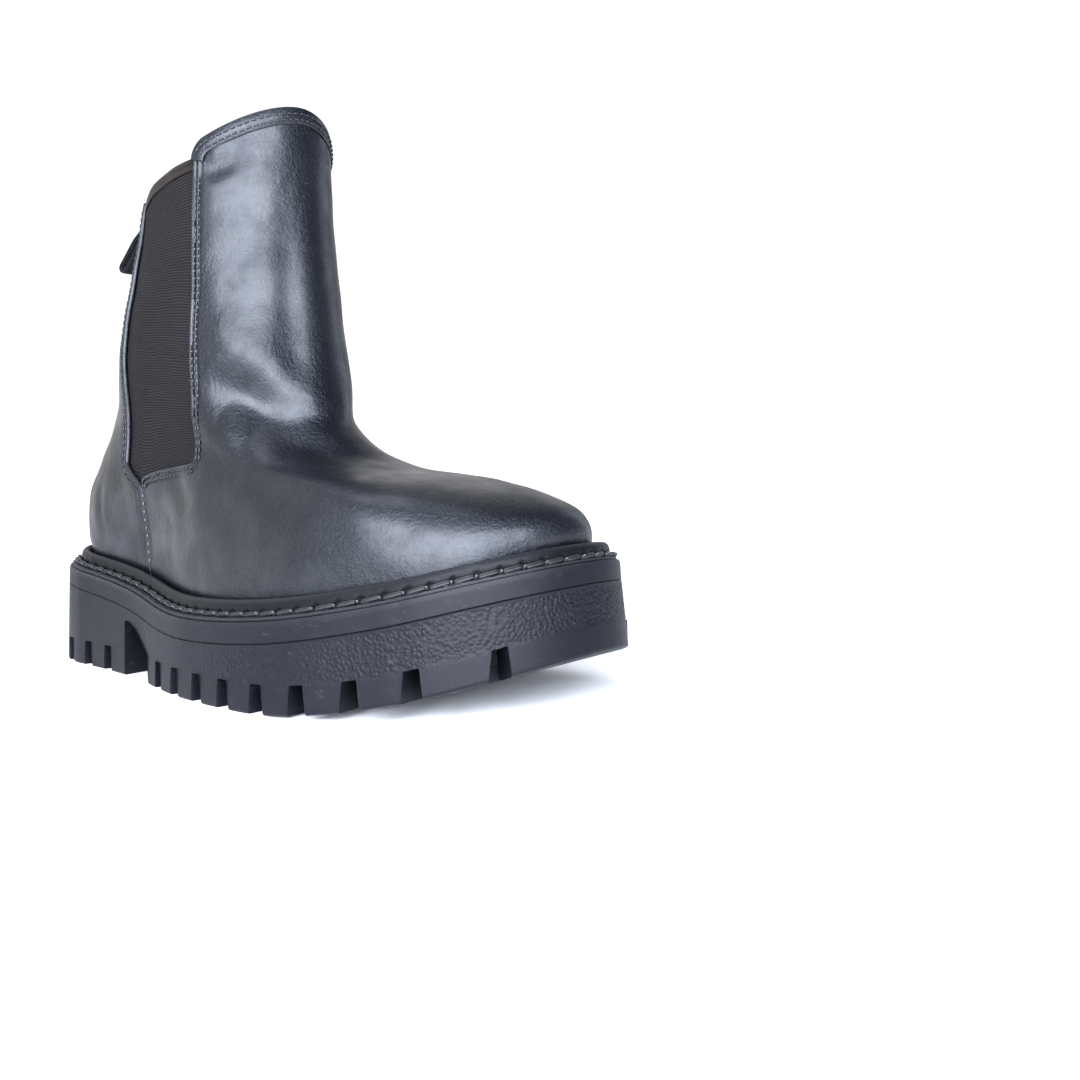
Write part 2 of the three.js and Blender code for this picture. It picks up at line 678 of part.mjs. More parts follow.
const PIECES = [
  ["outsole", "rubber", outsole],
  ["shank", "steel", shank],
  ["bottom_filler", "board", bottomFiller],
  ["insole_board", "board", () => solePlate(56, FEATHER_INSET + 3.2, LEATHER + 2 * GAP, LEATHER + 2 * GAP + BOARD)],
  ["footbed", "lining", () => solePlate(56, FEATHER_INSET + 8.5, FOOTBED_LOW, FOOTBED_LOW + FOOTBED)],
  ["storm_welt", "rubber", () => soleBand(64, WELT_SECTION, rimZ)],
  ["welt_thread", "thread", () => soleBand(64, WELT_STITCH_SECTION, rimZ)],
  ["vamp", "leather", () => vampPanel(-1, [0, LEATHER], VAMP_COLS)],
  ["quarter_lateral", "leather", () => quarterPanel(-1, [0, LEATHER], 8, 1)],
  ["quarter_medial", "leather", () => quarterPanel(-1, [0, LEATHER], 8, -1)],
  ["gore_lateral", "elastic", () => gorePanel(9, 1)],
  ["gore_medial", "elastic", () => gorePanel(9, -1)],
  ["gore_tape_lateral", "tape", () => goreTape(1)],
  ["gore_tape_medial", "tape", () => goreTape(-1)],
  ["toe_puff", "stiffener", () => toePuff()],
  ["heel_counter", "stiffener", () => heelPanel(0.35, counterTop, () => COUNTER_FRONT_Y, STIFFENER, 18, 7)],
  ["vamp_lining", "lining", () => vampPanel(LINING_LEVEL, [INNER, INNER + LINING], VAMP_COLS)],
  ["quarter_lining", "lining", () => heelPanel(LINING_LEVEL, (j) => backTop(Math.abs(2 * j - 1)), quarterEdgeY, [INNER, INNER + LINING], 14)],
  ["top_binding", "tape", () => foldedTape(topEdgePath, VAMP_COLS, GAP, INNER + LINING + GAP, BINDING_DROP)],
  ["back_strap", "webbing", backStrap],
  ["pull_tab", "webbing", pullTab],
  ["gore_thread_lateral", "thread", () => seamThread(goreSeamPath(1), 34)],
  ["gore_thread_medial", "thread", () => seamThread(goreSeamPath(-1), 34)],
  ["side_seam_thread_lateral", "thread", () => seamThread(sideSeamPath(1), 10)],
  ["side_seam_thread_medial", "thread", () => seamThread(sideSeamPath(-1), 10)],
];

function counterTop(j) {
  return mix(2.75, 1.55, smooth(Math.abs(2 * j - 1) * 1.3));
}

function toePuff() {
  const rows = 8;
  const cols = 18;
  const face = (depth) =>
    Array.from({ length: rows + 1 }, (_, r) =>
      Array.from({ length: cols + 1 }, (_, c) => {
        const level = mix(0.35, PUFF_TOP_LEVEL, r / rows);
        const a = angleAt(level, PUFF_BACK_Y);
        return layerPoint(level, mix(a, -a, c / cols), depth);
      }),
    );
  return solidBetween(face(STIFFENER[0]), face(STIFFENER[1]));
}

const boot = new THREE.Group();
boot.name = "chelsea_boot";
for (const [name, finish, make] of PIECES) {
  const [color, roughness, metalness] = FINISHES[finish];
  const geometry = make().toNonIndexed();
  geometry.computeVertexNormals();
  const mesh = new THREE.Mesh(geometry, new THREE.MeshStandardMaterial({ color, roughness, metalness }));
  mesh.name = name;
  boot.add(mesh);
}

export default boot;
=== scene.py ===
import json
import math

import bmesh
import bpy
import numpy as np
from mathutils import Matrix, Vector
from mathutils.bvhtree import BVHTree


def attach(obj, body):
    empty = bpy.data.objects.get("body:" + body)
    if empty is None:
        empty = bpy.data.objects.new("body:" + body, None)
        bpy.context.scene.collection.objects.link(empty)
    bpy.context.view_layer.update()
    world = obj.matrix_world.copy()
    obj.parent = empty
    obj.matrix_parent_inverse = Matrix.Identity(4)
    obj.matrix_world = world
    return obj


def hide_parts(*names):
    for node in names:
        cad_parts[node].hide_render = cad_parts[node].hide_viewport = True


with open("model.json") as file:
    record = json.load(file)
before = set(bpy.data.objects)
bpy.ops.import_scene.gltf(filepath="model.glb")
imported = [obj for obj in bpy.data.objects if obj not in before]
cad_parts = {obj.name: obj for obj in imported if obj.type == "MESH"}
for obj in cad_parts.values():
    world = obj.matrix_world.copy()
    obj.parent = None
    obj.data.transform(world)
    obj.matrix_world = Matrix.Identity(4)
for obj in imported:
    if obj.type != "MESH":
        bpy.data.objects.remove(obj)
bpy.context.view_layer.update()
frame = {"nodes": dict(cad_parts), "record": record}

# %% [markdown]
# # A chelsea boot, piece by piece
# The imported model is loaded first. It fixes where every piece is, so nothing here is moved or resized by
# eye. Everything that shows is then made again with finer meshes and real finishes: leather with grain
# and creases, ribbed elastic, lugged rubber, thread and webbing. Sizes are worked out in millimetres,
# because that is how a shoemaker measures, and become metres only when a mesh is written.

MM = 0.001

# %% [markdown]
# ## The camera
# The boot is seen from low down, in front of its outer side and a little above the sole. A camera needs a
# place and three directions: forward, right and up. A slightly long lens close to the boot keeps the toe
# large.

# %% Camera
CAMERA_AT = (-332, -398, 92)
CAMERA_TURN, CAMERA_TILT, CAMERA_ROLL = 54.8, -0.3, -1.0
CAMERA_LENS = 38.67
CAMERA_SHIFT = (-0.060, -0.072)


def aim_camera():
    turn, tilt, roll = (math.radians(a) for a in (CAMERA_TURN, CAMERA_TILT, CAMERA_ROLL))
    forward = Vector((math.sin(turn) * math.cos(tilt), math.cos(turn) * math.cos(tilt), math.sin(tilt)))
    level = forward.cross(Vector((0, 0, 1))).normalized()
    upright = level.cross(forward)
    right = level * math.cos(roll) + upright * math.sin(roll)
    up = upright * math.cos(roll) - level * math.sin(roll)
    place = Matrix((right, up, -forward)).transposed().to_4x4()
    place.translation = Vector(CAMERA_AT) * MM
    return place


camera = bpy.data.objects.new("camera", bpy.data.cameras.new("camera"))
bpy.context.scene.collection.objects.link(camera)
camera.matrix_world = aim_camera()
camera.data.sensor_width = 36
camera.data.lens = CAMERA_LENS
camera.data.shift_x, camera.data.shift_y = CAMERA_SHIFT
bpy.context.scene.camera = camera
print("camera at, mm:", CAMERA_AT)

# %% [markdown]
# ## Shader sums
# A finish is a sum of patterns. Written node by node it is hard to read, so a wire from a socket gets the
# usual signs of arithmetic, and each sign adds a Math node. Every other node comes from one method,
# `node`.


# %% Wires and finishes
class Wire:
    """A node's output that can stand in a sum."""

    def __init__(self, finish, socket):
        self.finish = finish
        self.socket = socket

    def math(self, operation, *values):
        sockets = dict(enumerate((self, *values)))
        return self.finish.node("ShaderNodeMath", {"operation": operation}, sockets)

    def __add__(self, other):
        return self.math("ADD", other)

    def __mul__(self, other):
        return self.math("MULTIPLY", other)

    def __sub__(self, other):
        return self.math("SUBTRACT", other)

    def __rsub__(self, other):
        sockets = {0: other, 1: self}
        return self.finish.node("ShaderNodeMath", {"operation": "SUBTRACT"}, sockets)

    __radd__ = __add__
    __rmul__ = __mul__


class Finish:
    """A material with one Principled shader. Numbers that hold all over are set on the shader itself."""

    def __init__(self, name, **constants):
        self.material = bpy.data.materials.new(name)
        self.material.use_nodes = True
        self.tree = self.material.node_tree
        self.tree.nodes.clear()
        self.shader = self.tree.nodes.new("ShaderNodeBsdfPrincipled")
        output = self.tree.nodes.new("ShaderNodeOutputMaterial")
        self.tree.links.new(self.shader.outputs[0], output.inputs[0])
        for socket, value in constants.items():
            self.set(socket.replace("_", " "), value)

    def set(self, socket, value):
        self.feed(self.shader.inputs[socket], value)

    def feed(self, socket, value):
        if isinstance(value, Wire):
            self.tree.links.new(value.socket, socket)
        elif socket.type == "RGBA":
            socket.default_value = (*value, 1)
        else:
            socket.default_value = value

    def node(self, kind, settings=None, sockets=None, out=0):
        made = self.tree.nodes.new(kind)
        for key, value in (settings or {}).items():
            if key == "stops":
                for stop, (place, grey) in zip(made.color_ramp.elements, value):
                    stop.position = place
                    stop.color = (grey, grey, grey, 1)
            else:
                setattr(made, key, value)
        for key, value in (sockets or {}).items():
            self.feed(made.inputs[key], value)
        return Wire(self, made.outputs[out])

    def place(self):
        return self.node("ShaderNodeTexCoord", out=3)

    def mark(self, name, out=2):
        return self.node("ShaderNodeAttribute", {"attribute_name": name}, out=out)

    def noise(self, size, detail=2, stretch=None, rough=0.5):
        """Cloudy noise whose patches are about `size` millimetres across."""
        where = self.place()
        if stretch:
            where = self.node("ShaderNodeVectorMath", {"operation": "MULTIPLY"}, {0: where, 1: stretch})
        sockets = {"Vector": where, "Scale": 1 / (size * MM), "Detail": detail, "Roughness": rough}
        return self.node("ShaderNodeTexNoise", {}, sockets)

    def cells(self, size, feature="F1", randomness=1):
        sockets = {"Vector": self.place(), "Scale": 1 / (size * MM), "Randomness": randomness}
        return self.node("ShaderNodeTexVoronoi", {"feature": feature}, sockets)

    def ramp(self, value, low, high):
        """0 below `low`, 1 above `high`."""
        sockets = {"Value": value, "From Min": low, "From Max": high}
        return self.node("ShaderNodeMapRange", {"interpolation_type": "SMOOTHSTEP"}, sockets)

    def blend(self, mask, first, second):
        return self.node("ShaderNodeMix", {"data_type": "RGBA"}, {0: mask, 6: first, 7: second}, out=2)

    def bump(self, height, deep, strength=1.0):
        sockets = {"Height": height, "Distance": deep * MM, "Strength": strength}
        self.set("Normal", self.node("ShaderNodeBump", {}, sockets))


print("shader helpers ready")

# %% [markdown]
# ## The studio
# The floor is plain and pale. The light is one large soft window in front of the outer side, with a weak
# one above and a weak one on the inner side. The surround is bright behind the boot and almost dark in
# front of it, so that the leather has a bright side and a dark side. It is a world whose brightness
# depends on direction, and it is plain white where the camera looks straight at it. The floor glows a
# little far from the boot, so that it meets the white surround without an edge.

# %% Floor, surround and lights
def stage_floor():
    mesh = bpy.data.meshes.new("floor")
    half = 6.0
    corners = [(-half, -half, 0), (half, -half, 0), (half, half, 0), (-half, half, 0)]
    mesh.from_pydata(corners, [], [(0, 1, 2, 3)])
    floor = bpy.data.objects.new("floor", mesh)
    bpy.context.scene.collection.objects.link(floor)
    finish = Finish("pale_floor", Roughness=0.9)
    cloud = finish.noise(90, 3)
    finish.set("Base Color", finish.blend(cloud, (0.86, 0.86, 0.87), (0.92, 0.92, 0.92)))
    reach = finish.node("ShaderNodeVectorMath", {"operation": "LENGTH"}, {0: finish.place()}, out=1)
    finish.set("Emission Strength", 1.0)
    finish.set("Emission Color", finish.blend(finish.ramp(reach, 0.35, 1.1), (0, 0, 0), (0.75, 0.75, 0.75)))
    mesh.materials.append(finish.material)
    return floor


def soft_light(name, place, target, size, watts, color=(1, 1, 1)):
    lamp = bpy.data.lights.new(name, "AREA")
    lamp.shape = "RECTANGLE"
    lamp.size, lamp.size_y = size
    lamp.energy = watts
    lamp.color = color
    held = bpy.data.objects.new(name, lamp)
    bpy.context.scene.collection.objects.link(held)
    aim = (Vector(target) - Vector(place)).to_track_quat("-Z", "Y")
    held.matrix_world = Matrix.Translation(place) @ aim.to_matrix().to_4x4()
    return held


def surround(bright, dim, toward):
    world = bpy.data.worlds.new("surround")
    bpy.context.scene.world = world
    world.use_nodes = True
    tree = world.node_tree
    glow = tree.nodes["Background"]
    where = tree.nodes.new("ShaderNodeTexCoord")
    dot = tree.nodes.new("ShaderNodeVectorMath")
    dot.operation = "DOT_PRODUCT"
    dot.inputs[1].default_value = Vector(toward).normalized()
    fade = tree.nodes.new("ShaderNodeMapRange")
    fade.interpolation_type = "SMOOTHSTEP"
    fade.inputs["From Min"].default_value = 0.0
    fade.inputs["From Max"].default_value = 0.8
    fade.inputs["To Min"].default_value = dim
    fade.inputs["To Max"].default_value = bright
    tree.links.new(where.outputs["Generated"], dot.inputs[0])
    tree.links.new(dot.outputs["Value"], fade.inputs["Value"])
    path = tree.nodes.new("ShaderNodeLightPath")
    seen = tree.nodes.new("ShaderNodeMath")
    seen.operation = "MAXIMUM"
    tree.links.new(path.outputs["Is Camera Ray"], seen.inputs[0])
    tree.links.new(fade.outputs["Result"], seen.inputs[1])
    tree.links.new(seen.outputs["Value"], glow.inputs["Strength"])
    glow.inputs["Color"].default_value = (1, 1, 1, 1)


floor = stage_floor()
surround(1.0, 0.02, (0.0, 0.97, 0.1))
soft_light("window", (-0.88, -0.73, 0.5), (0, 0, 0.12), (2.2, 0.88), 96, (0.84, 0.89, 1.0))
soft_light("ceiling", (-0.3, 0.2, 1.6), (0, 0, 0.1), (0.8, 0.8), 7, (0.84, 0.89, 1.0))
soft_light("side_fill", (1.3, -0.1, 0.5), (0, 0, 0.15), (0.5, 1.0), 2.5, (0.8, 0.87, 1.0))
bpy.context.scene.view_settings.view_transform = "Standard"
bpy.context.scene.view_settings.look = "Medium High Contrast"
print("studio ready")

# %% [markdown]
# ## The last
# A boot is built on a last, a solid foot shape. Here the last is a stack of closed loops, from the
# feather line where the upper meets the sole (level 0) to the top of the shaft (level 10). A point of the
# upper is a level and an angle round the boot: 0 at the toe, a half turn at the heel, positive on the
# outer side. Between the given loops a smooth curve fills in, so a seam or a crease can be placed
# anywhere on the skin.

# %% Smooth curves through given numbers
def smooth_through(places, values, at):
    """A smooth curve through the values, level past both ends. `values` may hold a column for each point."""
    places = np.asarray(places, float)
    values = np.asarray(values, float)
    at = np.clip(np.asarray(at, float), places[0], places[-1])
    if values.ndim == 1:
        values = values.reshape((-1,) + (1,) * at.ndim) + np.zeros((1,) + at.shape)
    last = len(places) - 1
    i = np.searchsorted(places[1:last], at, side="left")
    after = np.minimum(np.arange(last + 1) + 1, last)
    before = np.maximum(np.arange(last + 1) - 1, 0)
    run = (places[after] - places[before]).reshape((-1,) + (1,) * at.ndim)
    slopes = (values[after] - values[before]) / run
    pick = lambda table, k: np.take_along_axis(table, k[None], 0)[0]
    span = places[i + 1] - places[i]
    s = (at - places[i]) / span
    start, rise = pick(values, i), pick(values, i + 1) - pick(values, i)
    m0, m1 = pick(slopes, i) * span, pick(slopes, i + 1) * span
    return start + s * m0 + s * s * (3 * rise - 2 * m0 - m1) + s**3 * (m0 + m1 - 2 * rise)


def ease(x):
    x = np.clip(x, 0, 1)
    return x * x * (3 - 2 * x)


def mix(a, b, k):
    return a + (b - a) * k


def bell(x, width):
    return np.exp(-((x / width) ** 2))


# %% Tables of the last and the sole
MIDDLE_Y = [-152, -110, -60, 0, 60, 120, 152]
MIDDLE_X = [12, 6.5, -1, -5, 1.5, 7, 5.5]
RIM_Y = [-152, -100, -45, 20, 75, 152]
RIM_Z = [54.5, 41.5, 33.5, 31.5, 38.5, 46.5]
STATIONS = [-110, -60, 0, 60, 120]
SOLE = {"ends": (-152.5, 152.5), "widths": [56, 61, 53, 43, 40], "round": (50, 40)}
RIM_INSET, TOE_LEAN = 1.5, 1.5
TOE_SPRING, SPRING_FROM = 20.5, -40
# Front y and z, back y and z, half width at the five stations, roundness of toe and heel, flatness of the
# plane.
LOOPS = np.array([
    [-139.5, 54, 139.5, 47, 43.4, 48.3, 40.3, 30.4, 27.6, 41, 29, 0],
    [-141, 67, 144, 61, 44, 48, 41, 33, 31.5, 52, 38, 0.5],
    [-131, 75, 145, 78, 41.5, 44, 39.5, 35, 32, 60, 44, 1],
    [-107, 82, 137, 95, 38.5, 39.5, 38, 35, 30, 62, 46, 1],
    [-75, 86, 127, 110, 34, 34.5, 36, 34.5, 29, 60, 50, 1],
    [-49, 93, 119, 124, 33.5, 33.5, 35.7, 35.5, 30.5, 56, 54, 1],
    [-34, 105, 114, 138, 34.4, 34.4, 36.4, 37.5, 33.5, 52, 55, 1],
    [-27, 125, 109, 154, 36.2, 36.2, 37.7, 38, 35.5, 50, 55, 1],
    [-21, 158, 102, 174, 37.5, 37.5, 38, 36.5, 35, 50, 54, 1],
    [-17.5, 199, 95, 195, 37.7, 37.7, 37.7, 34.5, 33, 50, 52, 1],
    [-15.5, 239, 90.5, 212, 37.5, 37.5, 37.5, 33.5, 31.5, 50, 52, 1],
])
print("loops:", len(LOOPS))


# %% Points on the last
def middle_x(y):
    return smooth_through(MIDDLE_Y, MIDDLE_X, y)


def rim_z(y):
    return smooth_through(RIM_Y, RIM_Z, y)


def tread_z(y):
    reach = (SPRING_FROM - np.asarray(y)) / (SPRING_FROM - SOLE["ends"][0])
    return TOE_SPRING * np.maximum(0, reach) ** 2


def end_round(d):
    return np.sqrt(1 - (1 - np.clip(d, 0, 1)) ** 2)


def loop_point(front, back, widths, round_ends, angle):
    u = (1 - np.cos(angle)) / 2
    y = mix(front[0], back[0], u)
    ends = end_round((y - front[0]) / round_ends[0]) * end_round((back[0] - y) / round_ends[1])
    x = middle_x(y) - np.sign(np.sin(angle)) * smooth_through(STATIONS, widths, y) * ends
    return np.stack([x, y, mix(front[1], back[1], u)], -1)


LEVEL_RISE = 14
GAP = 0.3


def last_point(level, angle):
    """The outer face of the upper, without its creases."""
    level, angle = np.broadcast_arrays(np.asarray(level, float), np.asarray(angle, float))
    up = np.maximum(level, 0)
    v = [smooth_through(np.arange(len(LOOPS)), LOOPS[:, k], up) for k in range(12)]
    p = loop_point((v[0], v[1]), (v[2], v[3]), np.stack(v[4:9]), (v[9], v[10]), angle)
    seat = rim_z(p[..., 1]) + GAP + up * LEVEL_RISE
    p[..., 2] = mix(seat, p[..., 2], np.clip(v[11], 0, 1))
    return p


def unit(v):
    return v / np.maximum(1e-9, np.linalg.norm(v, axis=-1, keepdims=True))


def last_normal(level, angle):
    low = np.maximum(0, np.asarray(level, float) - 0.02)
    up = last_point(low + 0.04, angle) - last_point(low, angle)
    along = last_point(level, angle + 0.002) - last_point(level, angle - 0.002)
    return unit(np.cross(up, along))


def angle_at(level, y):
    """The angle at which a level crosses the lengthwise place y."""
    level = np.maximum(0, np.asarray(level, float))
    front = smooth_through(np.arange(len(LOOPS)), LOOPS[:, 0], level)
    back = smooth_through(np.arange(len(LOOPS)), LOOPS[:, 2], level)
    return np.arccos(1 - 2 * np.clip((y - front) / (back - front), 0, 1))


print("toe at level 0, mm:", np.round(last_point(0.0, 0.0), 1))

# %% [markdown]
# ## Creases
# Leather that has been walked in keeps its folds: one deep fold across the ankle, softer ones beside it
# and over the instep, and a faint waviness everywhere. A fold could be sculpted by hand, or painted as
# bump. Here each one is a short path on the skin that pushes the surface in and raises a lip on both
# sides, so that it also shows in the outline. The lining and the elastic follow the same folds, so no
# layer comes through another.

# %% Fold paths: points as (level, angle), then depth and half width in mm
FOLDS = [
    ([(7.6, 0.95), (7.35, 0.75), (7.1, 0.55)], -1.3, 11),
    ([(6.9, 1.0), (6.6, 0.82), (6.2, 0.62), (5.7, 0.4)], 3.2, 9),
    ([(5.6, 0.55), (5.0, 0.4), (4.4, 0.28)], 1.2, 7),
    ([(6.3, 0.4), (6.2, 0.1), (6.2, -0.3), (6.3, -0.5)], 1.3, 6),
    ([(5.3, 0.3), (5.1, 0.0), (5.2, -0.4)], 1.0, 6),
    ([(5.5, 1.05), (5.3, 0.85)], -1.8, 10),
    ([(9.3, 0.26), (8.3, 0.28), (7.4, 0.3), (6.7, 0.34)], 1.5, 8),
    ([(3.2, 1.7), (2.4, 1.68), (1.4, 1.66)], 0.9, 6),
    ([(3.0, 2.6), (2.0, 2.65), (1.0, 2.7)], 0.9, 4),
    ([(2.4, 2.35), (1.8, 2.36), (0.9, 2.36)], 0.7, 3.5),
    ([(9.5, 1.02), (9.4, 0.92), (9.42, 0.8), (9.5, 0.65)], 1.4, 4.5),
    ([(6.9, -1.0), (6.6, -0.82), (6.2, -0.62), (5.7, -0.4)], 2.8, 9),
    ([(3.4, 0.9), (3.1, 0.5), (3.2, 0.0), (3.1, -0.5)], 0.6, 9),
]


def fold_track(path, count=40):
    steps = np.linspace(0, 1, len(path))
    at = np.linspace(0, 1, count)
    levels = smooth_through(steps, [p[0] for p in path], at)
    angles = smooth_through(steps, [p[1] for p in path], at)
    return last_point(levels, angles), np.sin(np.pi * np.clip(at * 0.92 + 0.04, 0, 1)) ** 0.7


FOLD_TRACKS = [(*fold_track(path), deep, wide) for path, deep, wide in FOLDS]


def waviness(p):
    """Slow swells of the leather, made of a few fixed waves."""
    x, y, z = (p[..., k] for k in range(3))
    swell = np.sin(0.071 * y + 0.043 * z + 1.1) * np.sin(0.052 * z - 0.03 * x + 0.4)
    small = np.sin(0.19 * y - 0.13 * z + 0.09 * x) * np.sin(0.17 * z + 0.08 * y + 2.0)
    return 0.55 * swell + 0.16 * small


def relief(p):
    """How far the skin stands out from the last, in mm, at points of the last."""
    flat = p.reshape(-1, 3)
    total = waviness(flat)
    for track, strength, deep, wide in FOLD_TRACKS:
        gap = np.linalg.norm(flat[:, None] - track[None], axis=-1)
        nearest = gap.argmin(1)
        away = gap[np.arange(len(flat)), nearest]
        total += strength[nearest] * deep * (0.22 * bell(away - 1.7 * wide, 0.9 * wide) - bell(away, wide))
    height = flat[:, 2] - rim_z(flat[:, 1])
    firm = ease((height - 4) / 22) * ease((flat[:, 1] + 150) / 70)
    return (total * mix(0.12, 1, firm)).reshape(p.shape[:-1])


def skin(level, angle, depth):
    """A point of the upper at a depth below its outer face, folds included."""
    p = last_point(level, angle)
    out = last_normal(level, angle)
    return p + out * (relief(p) - depth)[..., None], out


print("folds:", len(FOLDS))

# %% [markdown]
# ## Making meshes
# Most pieces are sheets with a thickness: an outer grid of points, an inner one, and a rounded edge that
# joins them. A plain bevel would round every corner alike, so the edge is made ring by ring round the
# sheet's border.

# %% Mesh helpers
def grid_quads(rows, cols, start=0, closed=False):
    r, c = np.meshgrid(np.arange(rows - 1), np.arange(cols if closed else cols - 1), indexing="ij")
    n = (c + 1) % cols
    quads = np.stack([r * cols + c, (r + 1) * cols + c, (r + 1) * cols + n, r * cols + n], -1)
    return quads.reshape(-1, 4) + start


def make_piece(name, points, faces, finish, nodes=(), body="boot", sharp=50, marks=None, weld=True):
    """Writes points in mm as a smooth mesh that rides on a body. `marks` are named values at the points."""
    mesh = bpy.data.meshes.new(name)
    mesh.from_pydata((np.asarray(points) * MM).tolist(), [], [list(map(int, f)) for f in faces])
    for key, values in (marks or {}).items():
        kind = "FLOAT" if np.ndim(values) == 1 else "FLOAT_VECTOR"
        field = mesh.attributes.new(key, kind, "POINT")
        field.data.foreach_set("value" if kind == "FLOAT" else "vector", np.ravel(values).astype(np.float32))
    tidy = bmesh.new()
    tidy.from_mesh(mesh)
    if weld:
        bmesh.ops.remove_doubles(tidy, verts=tidy.verts, dist=2e-6)
        bmesh.ops.dissolve_degenerate(tidy, edges=tidy.edges, dist=1e-6)
    bmesh.ops.recalc_face_normals(tidy, faces=tidy.faces)
    tidy.to_mesh(mesh)
    tidy.free()
    mesh.polygons.foreach_set("use_smooth", [True] * len(mesh.polygons))
    mesh.set_sharp_from_angle(angle=math.radians(sharp))
    mesh.materials.append(finish.material)
    made = bpy.data.objects.new(name, mesh)
    bpy.context.scene.collection.objects.link(made)
    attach(made, body)
    if nodes:
        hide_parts(*nodes)
    print(f"{name}: {len(mesh.vertices)} points")
    return made


def border(rows, cols):
    top = [(0, c) for c in range(cols)]
    right = [(r, cols - 1) for r in range(1, rows)]
    bottom = [(rows - 1, c) for c in range(cols - 2, -1, -1)]
    left = [(r, 0) for r in range(rows - 2, 0, -1)]
    return np.array(top + right + bottom + left)


def sheet_shell(outer, inner, bulge=1.0, rings=3):
    """A closed sheet between two grids, with a rounded edge all round."""
    rows, cols = outer.shape[:2]
    ring = border(rows, cols)
    within = np.clip(ring, 1, [rows - 2, cols - 2])
    edge_out = outer[ring[:, 0], ring[:, 1]]
    edge_in = inner[ring[:, 0], ring[:, 1]]
    half = (edge_out - edge_in) / 2
    thick = unit(half)
    away = edge_out - outer[within[:, 0], within[:, 1]]
    away = unit(away - thick * (away * thick).sum(-1, keepdims=True))
    reach = np.linalg.norm(half, axis=-1, keepdims=True) * bulge
    points = [outer.reshape(-1, 3), inner.reshape(-1, 3)]
    for k in range(1, rings + 1):
        turn = math.pi * k / (rings + 1)
        points.append((edge_out + edge_in) / 2 + half * math.cos(turn) + away * reach * math.sin(turn))
    n, size = len(ring), rows * cols
    flat = ring[:, 0] * cols + ring[:, 1]
    chain = [flat] + [2 * size + k * n + np.arange(n) for k in range(rings)] + [size + flat]
    faces = [grid_quads(rows, cols), grid_quads(rows, cols, size)[:, ::-1]]
    for a, b in zip(chain, chain[1:]):
        faces.append(np.stack([a, np.roll(a, -1), np.roll(b, -1), b], -1))
    return np.concatenate(points), np.concatenate(faces)


def edge_gap(points, line):
    """Distance in mm from each point to a line of points."""
    flat = points.reshape(-1, 3)
    gap = np.full(len(flat), 1e9)
    for start in range(0, len(flat), 4000):
        part = flat[start:start + 4000]
        gap[start:start + 4000] = np.linalg.norm(part[:, None] - line[None], axis=-1).min(1)
    return gap.reshape(points.shape[:-1])


print("mesh helpers ready")

# %% [markdown]
# ## Leather
# Smooth black leather is dyed almost to black, then finished with a thin satin coat. Close up it has a fine
# grain of tiny cells, and where it has been bent the grain opens into hair-fine wrinkles. Colour and gloss
# change slowly over a hide and with handling, so the amount of coat changes in patches. The grain is bump,
# because it is finer than any mesh.

# %% Leather finish
def leather_finish(name, base, wear_and_highlight_tone):
    finish = Finish(name, Specular_IOR_Level=0.34, Coat_Roughness=0.29, Specular_Tint=(0.86, 0.91, 1.0))
    cloud = finish.noise(45, 3)
    fleck = finish.noise(1.6, 2)
    # The point mark lightens the folded edges and the crown of the top fold toward the lighter tone: painted
    # highlight there, together with rubbing. Fine flecks go toward the same tone.
    rub_and_highlight = finish.mark("rub_and_highlight")
    tone = finish.blend(cloud, base, tuple(c * 1.7 for c in base))
    tone = finish.blend(finish.ramp(fleck, 0.62, 0.8) * 0.35, tone, wear_and_highlight_tone)
    tone = finish.blend(rub_and_highlight * 0.5, tone, wear_and_highlight_tone)
    finish.set("Base Color", tone)
    patch = finish.ramp(finish.noise(17, 5, rough=0.6), 0.3, 0.7)
    finish.set("Coat Weight", patch * 0.34 + 0.2)
    finish.set("Roughness", finish.noise(14, 4) * 0.16 + finish.ramp(cloud, 0.3, 0.7) * 0.1 + 0.35)
    grain = finish.cells(0.95) * 0.5 + finish.noise(0.45, 2) * 0.5
    wrinkle = finish.noise(3.2, 4, (1.0, 1.0, 2.6), 0.6)
    swell = finish.noise(11, 3) * 2.6
    fold = finish.noise(30, 2) * 5.0
    finish.bump(grain * 1.6 + wrinkle * 1.5 + finish.noise(1.9, 3) * 2.0 + swell + fold, 0.17, 0.9)
    return finish


upper_leather = leather_finish("upper_leather", (0.0022, 0.0025, 0.0036), (0.03, 0.032, 0.04))
lining_leather = Finish("lining", Specular_IOR_Level=0.25)
lining_tone = lining_leather.blend(lining_leather.noise(6, 4), (0.02, 0.018, 0.017), (0.042, 0.037, 0.034))
lining_leather.set("Base Color", lining_tone)
lining_leather.set("Roughness", lining_leather.noise(4, 3) * 0.2 + 0.68)
lining_leather.bump(lining_leather.cells(0.8) + lining_leather.noise(2.5, 3), 0.12, 0.5)
print("leather ready")
